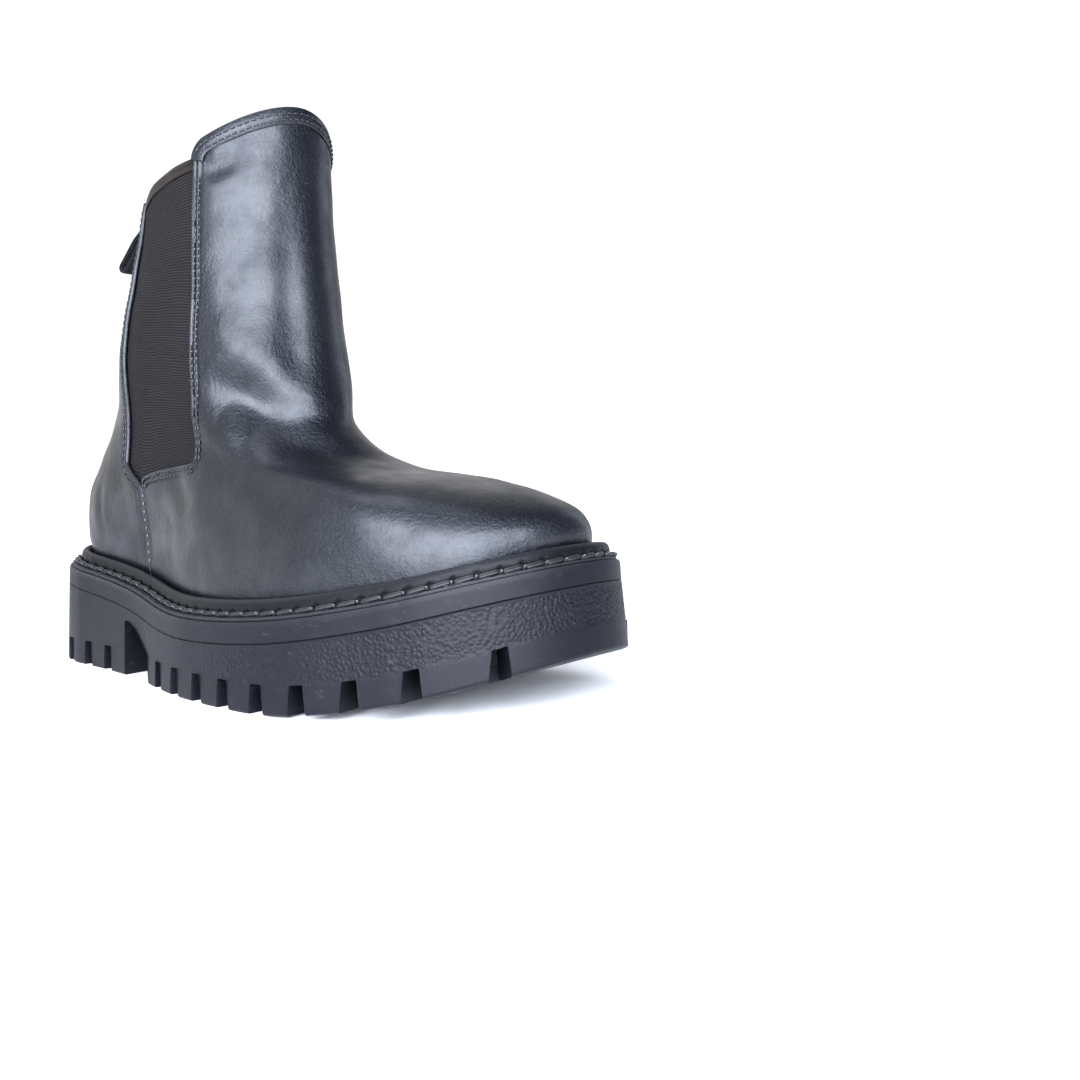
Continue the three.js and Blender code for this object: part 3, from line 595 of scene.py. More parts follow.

# %% [markdown]
# ## Elastic, thread and webbing
# The elastic at each side is woven over rubber cords, so it has fine ribs that run from front to back.
# The ribs are real rows in the mesh; the weave between them comes from a mark that each point carries, and
# the rib height also paints shade into the colour, darker in the valleys and lighter on the crests. Thread
# and webbing use
# the same idea: `lay` gives the place along and across the ribbon in mm. Webbing and tape are painted darker
# in the hollows of their weave, as shade.

# %% Textile finishes
def woven_finish(name, hollow_shade_and_patch_tone, ridge, pitch, roughness, deep):
    """Yarns of the given pitch that cross each other, laid out by the mark `lay`."""
    finish = Finish(name, Specular_IOR_Level=0.15, Sheen_Weight=0.04, Sheen_Roughness=0.5)
    where = finish.mark("lay", out=1)
    settings = {"wave_type": "BANDS", "bands_direction": "X", "wave_profile": "SIN"}
    scale = 2 * math.pi / pitch / 20
    sockets = {"Vector": where, "Scale": scale, "Distortion": 0.0}
    warp = finish.node("ShaderNodeTexWave", settings, sockets, out=1)
    across = {**settings, "bands_direction": "Y"}
    weft = finish.node("ShaderNodeTexWave", across, sockets, out=1)
    weave = finish.ramp(warp * 0.5 + weft * 0.5, 0.15, 0.85)
    fuzz = finish.noise(0.7, 3)
    # Yarn crowns take the yarn tone and the hollows of the weave are painted darker, as shade; slow patches
    # fade toward the same dark tone.
    tone = finish.blend(weave * 0.75 + fuzz * 0.25, hollow_shade_and_patch_tone, ridge)
    finish.set("Base Color", finish.blend(finish.ramp(finish.noise(22, 2), 0.35, 0.7) * 0.4, tone, hollow_shade_and_patch_tone))
    finish.set("Roughness", fuzz * 0.1 + roughness)
    finish.bump(weave + fuzz * 0.5, deep, 0.8)
    return finish


def elastic_finish():
    finish = Finish("gore_elastic", Specular_IOR_Level=0.1)
    rib = finish.mark("rib")
    where = finish.mark("lay", out=1)
    settings = {"wave_type": "BANDS", "bands_direction": "DIAGONAL", "wave_profile": "SIN"}
    sockets = {"Vector": where, "Scale": 0.42, "Distortion": 0.4}
    twill = finish.node("ShaderNodeTexWave", settings, sockets, out=1)
    fuzz = finish.noise(0.6, 3)
    # Rib height darkens the valleys between the ribs and lightens their crests: painted shade, mixed with the
    # twill and fuzz of the yarn.
    weave = rib * 0.6 + twill * 0.25 + fuzz * 0.15
    tone = finish.blend(weave, (0.0025, 0.0023, 0.0025), (0.026, 0.0235, 0.0245))
    faded = finish.ramp(finish.noise(30, 2), 0.4, 0.75) * 0.3
    finish.set("Base Color", finish.blend(faded, tone, (0.010, 0.0095, 0.0105)))
    finish.set("Roughness", fuzz * 0.12 + 0.72)
    finish.bump(twill * 0.6 + fuzz, 0.09, 0.7)
    return finish


def thread_finish(name, dark, light):
    finish = Finish(name, Roughness=0.5, Specular_IOR_Level=0.45)
    twist = finish.noise(0.35, 2, (1.0, 1.0, 2.0))
    finish.set("Base Color", finish.blend(twist, dark, light))
    finish.bump(twist, 0.08, 0.9)
    return finish


elastic = elastic_finish()
# First colour: painted shade in the weave's hollows and the tone of faded patches; second: the yarn's own
# tone.
webbing = woven_finish("webbing", (0.003, 0.003, 0.0035), (0.022, 0.0215, 0.024), 1.3, 0.72, 0.16)
tape = woven_finish("gore_binding", (0.0035, 0.0028, 0.0026), (0.022, 0.016, 0.013), 0.8, 0.7, 0.08)
seam_thread = thread_finish("seam_thread", (0.006, 0.006, 0.008), (0.03, 0.03, 0.034))
side_thread = thread_finish("side_seam_thread", (0.03, 0.03, 0.032), (0.16, 0.16, 0.165))
welt_cord = thread_finish("welt_cord", (0.004, 0.004, 0.005), (0.022, 0.022, 0.024))
print("textiles ready")

# %% [markdown]
# ## Rubber
# The sole is moulded rubber: dark grey, matt, a little dusty. The mould was textured like orange peel on
# the side wall, and polished on the band under the rim and near the lugs. The texture is part geometry
# and part bump, both driven by the mark `peel`, so that the smooth zones stay smooth.

# %% Rubber finishes
def rubber_finish(name, base, dust_and_highlight, gloss):
    finish = Finish(name, Specular_IOR_Level=0.2)
    cloud = finish.noise(28, 4)
    speck = finish.ramp(finish.noise(0.9, 2), 0.7, 0.78)
    scuff = finish.ramp(finish.noise(7, 5, (1.0, 1.0, 3.0), 0.7), 0.58, 0.75)
    peel = finish.mark("peel")
    tone = finish.blend(cloud, base, tuple(c * 1.35 for c in base))
    # Scuffs, dust specks and the point mark lighten the rubber toward the dust tone. The mark is painted
    # highlight on the welt's outer edge and bead and painted light on the sole's top ledge; on the sole's
    # bottom edge it is wear.
    tone = finish.blend(scuff * 0.3 + speck * 0.25 + finish.mark("rub_and_highlight") * 0.55, tone, dust_and_highlight)
    finish.set("Base Color", tone)
    finish.set("Roughness", cloud * 0.14 + scuff * 0.1 + gloss)
    pebble = finish.ramp(finish.cells(1.5), 0.0, 0.85)
    fine = finish.noise(0.5, 2)
    finish.bump(pebble * peel * -1.0 + fine * 0.18 + finish.noise(2.2, 3) * 0.22, 0.32, 0.75)
    return finish


sole_rubber = rubber_finish("sole_rubber", (0.006, 0.0064, 0.0085), (0.065, 0.066, 0.073), 0.42)
welt_rubber = rubber_finish("welt_rubber", (0.003, 0.0031, 0.004), (0.08, 0.08, 0.088), 0.42)
print("rubber ready")

# %% [markdown]
# ## The outsole
# The unit sole is one moulding. A solid with notches could be cut out with booleans, but that leaves
# ragged faces on a curved wall. Here the sole is drawn as columns round its edge. Each column runs from
# the rim down the wall, across the tread and in to the middle line, and a column inside a gap between
# lugs is simply cut off higher.

# %% Sole edge and lug gaps
TREAD_DEPTH, CHANNEL_DEPTH = 11, 6
NOTCH_TOP, NOTCH_FOOT = 2.75, 4.15
HEEL_GAPS = [30, 50, 70, 90]
FORE_GAPS = [151, 170, 189, 208, 228, 248, 270, 294, 325]
CENTRE_GROOVES = [-108, -86, -64, -42, -20, 2, 24, 92, 114]


def sole_edge(angle):
    front, back = (SOLE["ends"][0], 0), (SOLE["ends"][1], 0)
    at = lambda a: loop_point(front, back, SOLE["widths"], SOLE["round"], a)
    before, after = at(angle - 1e-3), at(angle + 1e-3)
    inward = np.stack([after[:, 1] - before[:, 1], before[:, 0] - after[:, 0]], -1)
    return at(angle)[:, :2], unit(inward)


def edge_columns():
    """Places round the outer half of the sole: distance from the back of the heel, and angle."""
    fine = np.linspace(math.pi, 0, 4000)
    line, _ = sole_edge(fine)
    far = np.concatenate([[0], np.cumsum(np.linalg.norm(np.diff(line, axis=0), axis=1))])
    keep = [np.arange(0, far[-1], 1.0), [far[-1]]]
    walls = np.array([2.0, NOTCH_TOP, 3.2, 3.65, NOTCH_FOOT, 4.3])
    for gap in HEEL_GAPS + FORE_GAPS:
        keep += [gap - walls, gap + walls]
    for y in (67.6, 67.0, 66.6, 66.1, 65.5, 39.6, 39.2, 38.8, 38.3):
        keep.append([far[np.abs(line[:, 1] - y).argmin()]])
    places = np.unique(np.round(np.concatenate(keep), 2))
    return places, np.interp(places, far, fine)


def rim_inset(angle):
    return RIM_INSET + TOE_LEAN * ease(2 * np.cos(angle) - 1)


def arch_z(y):
    return np.interp(y, [38.3, 39.2, 56, 65.5, 67.0], [-2, 11.5, 21, 24, -2])


def groove_z(x, y):
    rise = np.zeros_like(x)
    for i, middle in enumerate(CENTRE_GROOVES):
        turn = 0.3 if i % 2 == 0 else -0.3
        across = np.abs((y - middle) * math.cos(turn) - (x - middle_x(y)) * math.sin(turn))
        rise = np.maximum(rise, CHANNEL_DEPTH * (1 - ease((across - 1.8) / 1.0)))
    return rise


places, half_angles = edge_columns()
angles = np.concatenate([half_angles, -half_angles[-2:0:-1]])
distances = np.concatenate([places, places[-2:0:-1]])
print("sole columns:", len(angles), "half way round, mm:", round(float(places[-1]), 1))


# %% Sole mesh
def build_outsole():
    rng = np.random.default_rng(7)
    edge, inward = sole_edge(angles)
    side = np.stack([-np.sign(edge[:, 0] - middle_x(edge[:, 1])), np.zeros(len(edge))], -1)
    straight = (ease((edge[:, 1] - 20) / 12) * ease((94 - edge[:, 1]) / 12))[:, None]
    inward = unit(mix(inward, side, straight))
    lean = rim_inset(angles)
    away = np.abs((distances[:, None] - np.array(HEEL_GAPS + FORE_GAPS)[None])).min(1)
    cut = TREAD_DEPTH * np.clip((NOTCH_FOOT - away) / (NOTCH_FOOT - NOTCH_TOP), 0, 1)
    heelward = ease((edge[:, 1] + 5) / 30)
    teeth = 0.5 + 0.5 * np.tanh(3 * np.sin(2 * math.pi * distances / 3.3))
    spine_y = np.clip(edge[:, 1], SOLE["ends"][0] + 44, SOLE["ends"][1] - 38)
    spine = np.stack([middle_x(spine_y), spine_y], -1)
    rows, peel, rub_and_highlight = [], [], []

    def add(inset, height, grain=0.0, wear_and_highlight=0.0):
        flat = edge + inward * np.broadcast_to(inset, angles.shape)[:, None]
        put(flat, height(flat[:, 1]), grain, wear_and_highlight, np.all(np.asarray(inset) < 16.6))

    def put(flat, z, grain, wear_and_highlight, notched):
        if notched:
            z = np.maximum(z, tread_z(flat[:, 1]) + np.where(cut > 0, cut, -9))
        z = np.maximum(z, arch_z(flat[:, 1]))
        rows.append(np.column_stack([flat, np.minimum(z, rim_z(flat[:, 1]))]))
        peel.append(np.broadcast_to(grain, angles.shape))
        rub_and_highlight.append(np.broadcast_to(wear_and_highlight, angles.shape))

    put(spine, rim_z(spine_y), 0, 0, False)
    for inset in (24, 13):
        add(inset, rim_z)
    # The last number of the next rows lightens the rubber: on the top rim, more toward the heel, this is
    # painted light on the upward ledge.
    add(lean + 1.3, lambda y: rim_z(y) - 0.05 - 0.35 * teeth * heelward, 0, 0.25 * heelward)
    wear_and_highlight = teeth * heelward
    add(lean + 0.35 + 0.35 * wear_and_highlight, lambda y: rim_z(y) - 0.2 - 0.3 * wear_and_highlight, 0, 0.2 + 0.75 * heelward)
    add(lean, lambda y: rim_z(y) - 1.0, 0, 0.15 + 0.25 * heelward)
    for drop in (2.5, 4.5, 6.5):
        add(lean * (1 - 0.02 * drop), lambda y: rim_z(y) - drop)
    add(lean * 0.84, lambda y: rim_z(y) - 7.9)
    add(lean * 0.83 + 0.4, lambda y: rim_z(y) - 8.25)
    steps = 34
    for k in range(steps + 1):
        share = k / steps
        inset = lean * 0.82 * (1 - share) + 0.15 * share
        side_z = lambda y: mix(rim_z(y) - 8.6, tread_z(y) + 0.9, share)
        z = side_z(edge[:, 1])
        low = ease((z - tread_z(edge[:, 1]) - TREAD_DEPTH + 1.5) / 3) * ease(k / 2)
        grain = low * mix(0.12, 1.0, ease((15 - edge[:, 1]) / 120))
        rough = rng.normal(0, 0.05, len(angles)) * grain
        add(inset + rough, side_z, grain)
    add(0.4, lambda y: tread_z(y) + 0.3, 0, 0.2)
    add(1.1, tread_z)
    for inset in (3, 6, 9, 12, 14.5, 16.5):
        add(inset, tread_z)
    for inset in (16.62, 18.8, 21.0):
        add(inset, lambda y: tread_z(y) + CHANNEL_DEPTH)
    inner = edge + inward * 21.1
    for share in np.linspace(0, 1, 16):
        flat = mix(inner, spine, share)
        put(flat, tread_z(flat[:, 1]) + groove_z(flat[:, 0], flat[:, 1]), 0, 0, False)
    grid = np.stack(rows)
    faces = grid_quads(len(rows), len(angles), closed=True)
    marks = {"peel": np.ravel(np.stack(peel)), "rub_and_highlight": np.ravel(np.stack(rub_and_highlight))}
    points, slot = grid.reshape(-1, 3), "sole_rubber"
    return make_piece("sole", points, faces, sole_rubber, ["outsole"], sharp=32, marks=marks)


sole = build_outsole()

# %% [markdown]
# ## The storm welt and its stitching
# A storm welt stands up against the upper and keeps water out. Its foot lies on the sole and is sewn down
# with a heavy cord, and each stitch pulls the lower edge of the welt in, which gives the scalloped line.
# The welt is one section carried round the boot, whose lower lip rises at every stitch hole.

# %% Welt ring
WELT_PITCH = 9.3


def ring_places(spacing):
    """Evenly spaced places once round the boot, with the distance walked."""
    fine = np.linspace(math.pi, -math.pi, 6001)
    line, _ = sole_edge(fine)
    far = np.concatenate([[0], np.cumsum(np.linalg.norm(np.diff(line, axis=0), axis=1))])
    count = int(far[-1] / spacing)
    at = np.arange(count) * far[-1] / count
    return np.interp(at, far, fine), at, far[-1]


def stitch_pitch(length):
    return length / round(length / WELT_PITCH)


def build_welt():
    rng = np.random.default_rng(11)
    angle, far, length = ring_places(0.9)
    edge, inward = sole_edge(angle)
    lean = rim_inset(angle)
    phase = (far / stitch_pitch(length)) % 1
    hole = bell(np.minimum(phase, 1 - phase), 0.13)
    rough = lambda size: rng.normal(0, size, len(angle))
    still = 0 * far
    # Each row: inset, height, and how much lighter the rubber is painted there, which is a painted highlight
    # on the outer edge and on the crown of the bead.
    section = [
        (lean + 1.2, 0.1 + still, 0.1),
        (lean + 1.35, 1.0 + rough(0.06), 0.5),
        (lean + 1.9, 1.35 + rough(0.1), 0.35),
        (4.6 + still, 1.45 + rough(0.14), 0.2),
        (5.6 + still, 1.35 + rough(0.14), 0.1),
        (6.9 + still, 1.2 + rough(0.08), 0),
        (7.6 + still, 2.0 + hole * 1.3, 0),
        (7.05 + hole * 0.5, 2.7 + hole * 1.5, 0.15),
        (6.75 + hole * 0.35, 3.3 + hole * 1.3, 0.1),
        (6.8 + hole * 0.1, 4.6 + hole * 0.4, 0),
        (7.1 + still, 5.9 + rough(0.03), 0.05),
        (7.6 + still, 6.9 + rough(0.03), 0.2),
        (8.3 + still, 7.55 + rough(0.03), 0.35),
        (9.1 + still, 7.7 + still, 0.15),
        (9.9 + still, 7.2 + still, 0),
        (10.6 + still, 6.2 + still, 0),
        (12.1 + still, 0.4 + still, 0),
        (8 + still, 0.12 + still, 0),
    ]
    rings = []
    for inset, height, _ in section + section[:1]:
        flat = edge + inward * inset[:, None]
        rings.append(np.column_stack([flat, rim_z(flat[:, 1]) + height]))
    rub_and_highlight = np.concatenate([np.full(len(angle), wear_and_highlight) for *_, wear_and_highlight in section + section[:1]])
    peel = np.concatenate([np.full(len(angle), 0.9 if 2 <= i <= 5 else 0.0) for i in range(len(section) + 1)])
    faces = grid_quads(len(rings), len(angle), closed=True)
    marks = {"rub_and_highlight": rub_and_highlight, "peel": peel}
    points, slot = np.concatenate(rings), "welt_rubber"
    return make_piece("welt", points, faces, welt_rubber, ["storm_welt"], sharp=55, marks=marks)


welt = build_welt()


# %% Stitches as plump beads of thread
def bead_template(around=8, along=8):
    t = np.linspace(-1, 1, along)
    r = np.sqrt(np.clip(1 - t**4, 0, 1))
    turn = np.arange(around) * 2 * math.pi / around
    r = r[:, None]
    rings = np.broadcast_arrays(t[:, None], np.cos(turn)[None] * r, np.sin(turn)[None] * r)
    return np.stack(rings, -1).reshape(-1, 3), grid_quads(along, around, closed=True)


BEAD, BEAD_FACES = bead_template()


def beads(at, along, out, length, width, height):
    """One bead at each place: half length, half width and half height in mm."""
    along, out = unit(along), unit(out)
    across = unit(np.cross(out, along))
    scale = BEAD * [length, width, height]
    points = at[:, None]
    for k, way in enumerate((along, across, out)):
        points = points + scale[None, :, k:k + 1] * way[:, None]
    faces = (BEAD_FACES[None] + (np.arange(len(at)) * len(BEAD))[:, None, None]).reshape(-1, 4)
    return points.reshape(-1, 3), faces


def joined(parts):
    points, faces, start = [], [], 0
    for part_points, part_faces in parts:
        points.append(part_points)
        faces.append(part_faces + start)
        start += len(part_points)
    return np.concatenate(points), np.concatenate(faces)


def build_welt_cord():
    rng = np.random.default_rng(23)
    _, _, length = ring_places(0.9)
    pitch = stitch_pitch(length)
    count = round(length / pitch)
    fine = np.linspace(math.pi, -math.pi, 6001)
    line, _ = sole_edge(fine)
    far = np.concatenate([[0], np.cumsum(np.linalg.norm(np.diff(line, axis=0), axis=1))])
    at = (np.arange(count) + 0.5) * pitch
    angle = np.interp(at, far, fine)
    edge, inward = sole_edge(angle)
    ahead, _ = sole_edge(np.interp(at + 0.5, far, fine))
    flat = edge + inward * (5.8 + rng.normal(0, 0.08, count))[:, None]
    place = np.column_stack([flat, rim_z(flat[:, 1]) + 2.2])
    slope = (rim_z(ahead[:, 1]) - rim_z(edge[:, 1])) / 0.5
    along = unit(np.column_stack([(ahead - edge) / 0.5, slope + 0.06]))
    along[:, :2] += inward * 0.09
    out = np.column_stack([-inward * 0.75, np.ones(count)])
    cords = [beads(place, along, out, pitch * 0.5, 1.05, 1.0)]
    strand = unit(np.cross(unit(out), unit(along)))
    for offset in (-0.45, 0.45):
        cords.append(beads(place + strand * offset + unit(out) * 0.25, along, out, pitch * 0.46, 0.62, 0.85))
    knot = place - unit(along) * pitch * 0.5 + unit(out) * 0.35
    cords.append(beads(knot, out, along, 1.15, 0.75, 0.7))
    points, faces = joined(cords)
    cord = make_piece("welt_stitching", points, faces, welt_cord, ["welt_thread"], sharp=80)
    speck = knot + unit(out) * 0.95 + np.column_stack([-inward * 0.35, np.zeros(count)])
    points, faces = beads(speck, along, out, 0.4, 0.26, 0.25)
    make_piece("welt_stitch_ends", points, faces, side_thread)
    return cord


build_welt_cord()

# %% [markdown]
# ## The upper
# Three pieces of leather make the upper: one large vamp that covers the toe, the instep and the front of
# the shaft, and two quarters that meet at the back. Their free edges are folded over and held by two rows
# of stitching, which pull fine valleys into the leather. Rows of the mesh are set close together where an
# edge turns.

# %% Edges of the panels
TOP_LEVEL, TOP_AT_SEAM = 10, 9.72
GORE_TOP, BACK_TOP, QUARTER_TOP = 9.55, 9.97, 9.78
GORE_BOTTOM, GORE_CORNER, CORNER_DROP = 2.55, 3.5, 0.17
GORE_FRONT_Y, GORE_BACK_Y, SIDE_SEAM_Y = 14, 78, 62
LEATHER, GORE_DEPTH, GORE_THICK, INNER, LINING = 1.8, 2.3, 1.1, 3.95, 1.0
MARGIN = 10
SEAM_ROWS = (1.9, 4.2)
LEVEL_HEIGHT = [50, 64, 77, 88, 98, 108, 121, 140, 167, 198, 226]


def row_levels(bottom, spacing, fine=()):
    """Levels about `spacing` mm apart, with more of them inside the `fine` span."""
    heights = np.arange(np.interp(bottom, range(11), LEVEL_HEIGHT), LEVEL_HEIGHT[-1], spacing)
    levels = np.interp(heights, LEVEL_HEIGHT, range(11))
    extra = np.linspace(*fine) if fine else []
    return np.unique(np.round(np.concatenate([levels, extra, [bottom, TOP_LEVEL]]), 4))


def vamp_edge_y(level):
    return mix(SIDE_SEAM_Y, GORE_FRONT_Y, ease((level - GORE_BOTTOM) / (GORE_CORNER - GORE_BOTTOM)))


def quarter_edge_y(level):
    return mix(SIDE_SEAM_Y + 1, GORE_BACK_Y, ease((level - GORE_BOTTOM + 0.3) / 0.9))


def vamp_top(j):
    away = np.abs(2 * j - 1)
    turn = np.clip((away - 0.9) / 0.1, 0, 1)
    return mix(TOP_LEVEL, TOP_AT_SEAM, away ** 1.6) - CORNER_DROP * (1 - np.sqrt(1 - turn * turn * 0.999))


def back_top(away):
    return mix(BACK_TOP, QUARTER_TOP, away * away)


def lasted(level, angle, depth):
    """The margin that is turned in under the foot and glued down."""
    a, b = last_point(0.0, angle - 1e-3), last_point(0.0, angle + 1e-3)
    inward = unit(np.stack([b[..., 1] - a[..., 1], a[..., 0] - b[..., 0], 0 * a[..., 0]], -1))
    p = last_point(0.0, angle) - inward * (level * MARGIN)[..., None]
    p[..., 2] = rim_z(p[..., 1]) + GAP + depth
    return p


def panel_grid(bottom, top, edges, levels, shares):
    """Level and angle of every point of a panel whose side edges are given for each level."""
    level = bottom + (levels[:, None] - bottom) * (top(shares)[None] - bottom) / (TOP_LEVEL - bottom)
    first, last = edges(level)
    return level, mix(first, last, shares[None])


def panel_face(level, angle, depth):
    face, out = skin(np.maximum(level, 0), angle, depth)
    under = level < 0
    if under.any():
        face[under] = lasted(level[under], angle[under], depth)
    return face, out


def edge_shares(count, edge=0.03, close=12):
    inside = np.linspace(edge, 1 - edge, count)
    first = np.linspace(0, edge, close, endpoint=False)
    return np.concatenate([first, inside, np.linspace(1 - edge, 1, close + 1)[1:]])


def pull_in(face, out, lines):
    """Stitching valleys and the swell of the folded edge, beside the given edge lines."""
    gap = np.min([edge_gap(face, line) for line in lines], axis=0)
    dip = sum(-0.28 * bell(gap - row, 0.55) for row in SEAM_ROWS)
    swell = 0.22 * bell(gap - 0.7, 0.7) + 0.16 * bell(gap - 3.05, 0.6) - 0.25 * bell(gap, 0.35)
    return face + out * (dip + swell)[..., None], gap


print("side seam to gore front, mm:", SIDE_SEAM_Y - GORE_FRONT_Y)


# %% Vamp
def build_vamp():
    levels = row_levels(-0.6, 1.7, (2.4, 3.7, 70))
    shares = edge_shares(170)
    edges = lambda level: (angle_at(level, vamp_edge_y(level)), -angle_at(level, vamp_edge_y(level)))
    level, angle = panel_grid(-0.6, vamp_top, edges, levels, shares)
    face, out = panel_face(level, angle, 0)
    inner, _ = panel_face(level, angle, LEATHER)
    shaft = levels > 0.5
    lines = [face[shaft, 0], face[shaft, -1]]
    shaped, gap = pull_in(face, out, lines)
    points, faces = sheet_shell(shaped, inner, bulge=0.7)
    # Lighter along the folded edges: painted highlight, together with rubbing.
    rub_and_highlight = np.zeros(len(points))
    rub_and_highlight[:gap.size] = 0.5 * np.ravel(bell(gap, 0.9)) * np.ravel(level > 0)
    made = make_piece("vamp_panel", points, faces, upper_leather, ["vamp"], marks={"rub_and_highlight": rub_and_highlight})
    return made, face, out, levels


vamp, vamp_face, vamp_out, vamp_levels = build_vamp()


# %% Quarters
def build_quarter(name, node, side):
    levels = row_levels(-0.6, 1.7, (2.2, 3.3, 40))
    shares = edge_shares(56, 0.06)
    back = math.pi - 0.004
    if side > 0:
        edges = lambda level: (back + 0 * level, angle_at(level, quarter_edge_y(level)))
        top = lambda j: back_top(j)
    else:
        edges = lambda level: (-angle_at(level, quarter_edge_y(level)), -back + 0 * level)
        top = lambda j: back_top(1 - j)
    level, angle = panel_grid(-0.6, top, edges, levels, shares)
    face, out = panel_face(level, angle, 0)
    inner, _ = panel_face(level, angle, LEATHER)
    free = levels > 0.5
    seam = -1 if side > 0 else 0
    shaped, gap = pull_in(face, out, [face[free, seam]])
    shaped = shaped + out * (-0.5 * bell(edge_gap(face, face[free, 0 if side > 0 else -1]), 1.1))[..., None]
    points, faces = sheet_shell(shaped, inner, bulge=0.35)
    # Lighter along the folded edges: painted highlight, together with rubbing.
    rub_and_highlight = np.zeros(len(points))
    rub_and_highlight[:gap.size] = 0.5 * np.ravel(bell(gap, 0.9)) * np.ravel(level > 0)
    made = make_piece(name, points, faces, upper_leather, [node], marks={"rub_and_highlight": rub_and_highlight})
    return made, face[:, seam], out[:, seam], face[:, -4 if side > 0 else 3], levels


quarters = {
    1: build_quarter("quarter_outer", "quarter_lateral", 1),
    -1: build_quarter("quarter_inner", "quarter_medial", -1),
}

# %% [markdown]
# ## Stitching on leather
# A stitch is a short plump bead that lies in its valley. Each row follows the folded edge at its own
# distance: the edge line is moved inward over the leather and dropped onto the surface, so rows stay
# parallel round the corner under the elastic.

# %% Rows of stitches
SEAM_PITCH = 3.0


def surface_of(made):
    mesh = made.data
    points = [tuple(v.co) for v in mesh.vertices]
    return BVHTree.FromPolygons(points, [tuple(p.vertices) for p in mesh.polygons])


def drop_on(tree, points, out):
    """The nearest places on a surface, coming from outside."""
    found = [tree.find_nearest((p + n * 0.8) * MM) for p, n in zip(points, out)]
    return np.array([np.array(f[0]) / MM for f in found])


def stitched_line(line, out, toward, offset, tree, pitch=SEAM_PITCH):
    """Places, directions and outward normals of stitches at a distance inside an edge line."""
    run = np.concatenate([[0], np.cumsum(np.linalg.norm(np.diff(line, axis=0), axis=1))])
    along = np.gradient(line, axis=0)
    side = unit(np.cross(out, unit(along)))
    side *= np.sign((side * toward).sum(-1, keepdims=True))
    moved = line + side * offset
    count = int(run[-1] / pitch)
    at = (np.arange(count) + 0.5) * run[-1] / count
    spread = lambda values, where: np.stack([np.interp(where, run, values[:, k]) for k in range(3)], -1)
    place, normal = spread(moved, at), unit(spread(out, at))
    direction = spread(moved, at + 0.6) - spread(moved, at - 0.6)
    return drop_on(tree, place, normal), direction, normal


def stitch_rows(tracks, size=(1.22, 0.42, 0.36)):
    parts = [beads(place + out * 0.24, along, out, *size) for place, along, out in tracks]
    return joined(parts)


def vamp_stitches(side, node, name):
    column, near = (0, 6) if side > 0 else (-1, -7)
    rows = (vamp_levels > 2.35) & (vamp_levels < 9.8)
    line, out = vamp_face[rows, column], vamp_out[rows, column]
    toward = vamp_face[rows, near] - line
    tree = surface_of(vamp)
    tracks = [stitched_line(line, out, toward, d, tree) for d in SEAM_ROWS]
    _, edge, edge_out, inside, levels = quarters[side]
    rows = (levels > 2.5) & (levels < 9.85)
    tree = surface_of(quarters[side][0])
    toward = inside[rows] - edge[rows]
    tracks += [stitched_line(edge[rows], edge_out[rows], toward, d, tree) for d in SEAM_ROWS]
    points, faces = stitch_rows(tracks)
    return make_piece(name, points, faces, seam_thread, [node], sharp=80)


def side_seam_stitches(side, node, name):
    column, near = (0, 6) if side > 0 else (-1, -7)
    rows = (vamp_levels > 0.6) & (vamp_levels < 2.4)
    line, out = vamp_face[rows, column], vamp_out[rows, column]
    toward = vamp_face[rows, near] - line
    track = stitched_line(line, out, toward, 0.9, surface_of(vamp), 3.4)
    points, faces = stitch_rows([track], (0.75, 0.42, 0.34))
    return make_piece(name, points, faces, side_thread, [node], sharp=80)


vamp_stitches(1, "gore_thread_lateral", "gore_stitching_outer")
vamp_stitches(-1, "gore_thread_medial", "gore_stitching_inner")
side_seam_stitches(1, "side_seam_thread_lateral", "side_seam_stitching_outer")
side_seam_stitches(-1, "side_seam_thread_medial", "side_seam_stitching_inner")

# %% [markdown]
# ## The elastic gores
# A gore is a panel of ribbed elastic sewn behind the leather, so that the boot opens wide enough to step
# into. Its ribs run from front to back and wave a little. Each rib is six rows of the mesh, and the panel
# carries a mark for rib height and one for its place in mm.

# %% Gores
GORE_TUCK = 7
GORE_EDGE_Y = [7, 14, 38, 62, 78, 85]
GORE_EDGE_LEVEL = [3.15, 3.1, 2.62, 2.12, 2.3, 2.6]
RIB_PITCH = 1.15


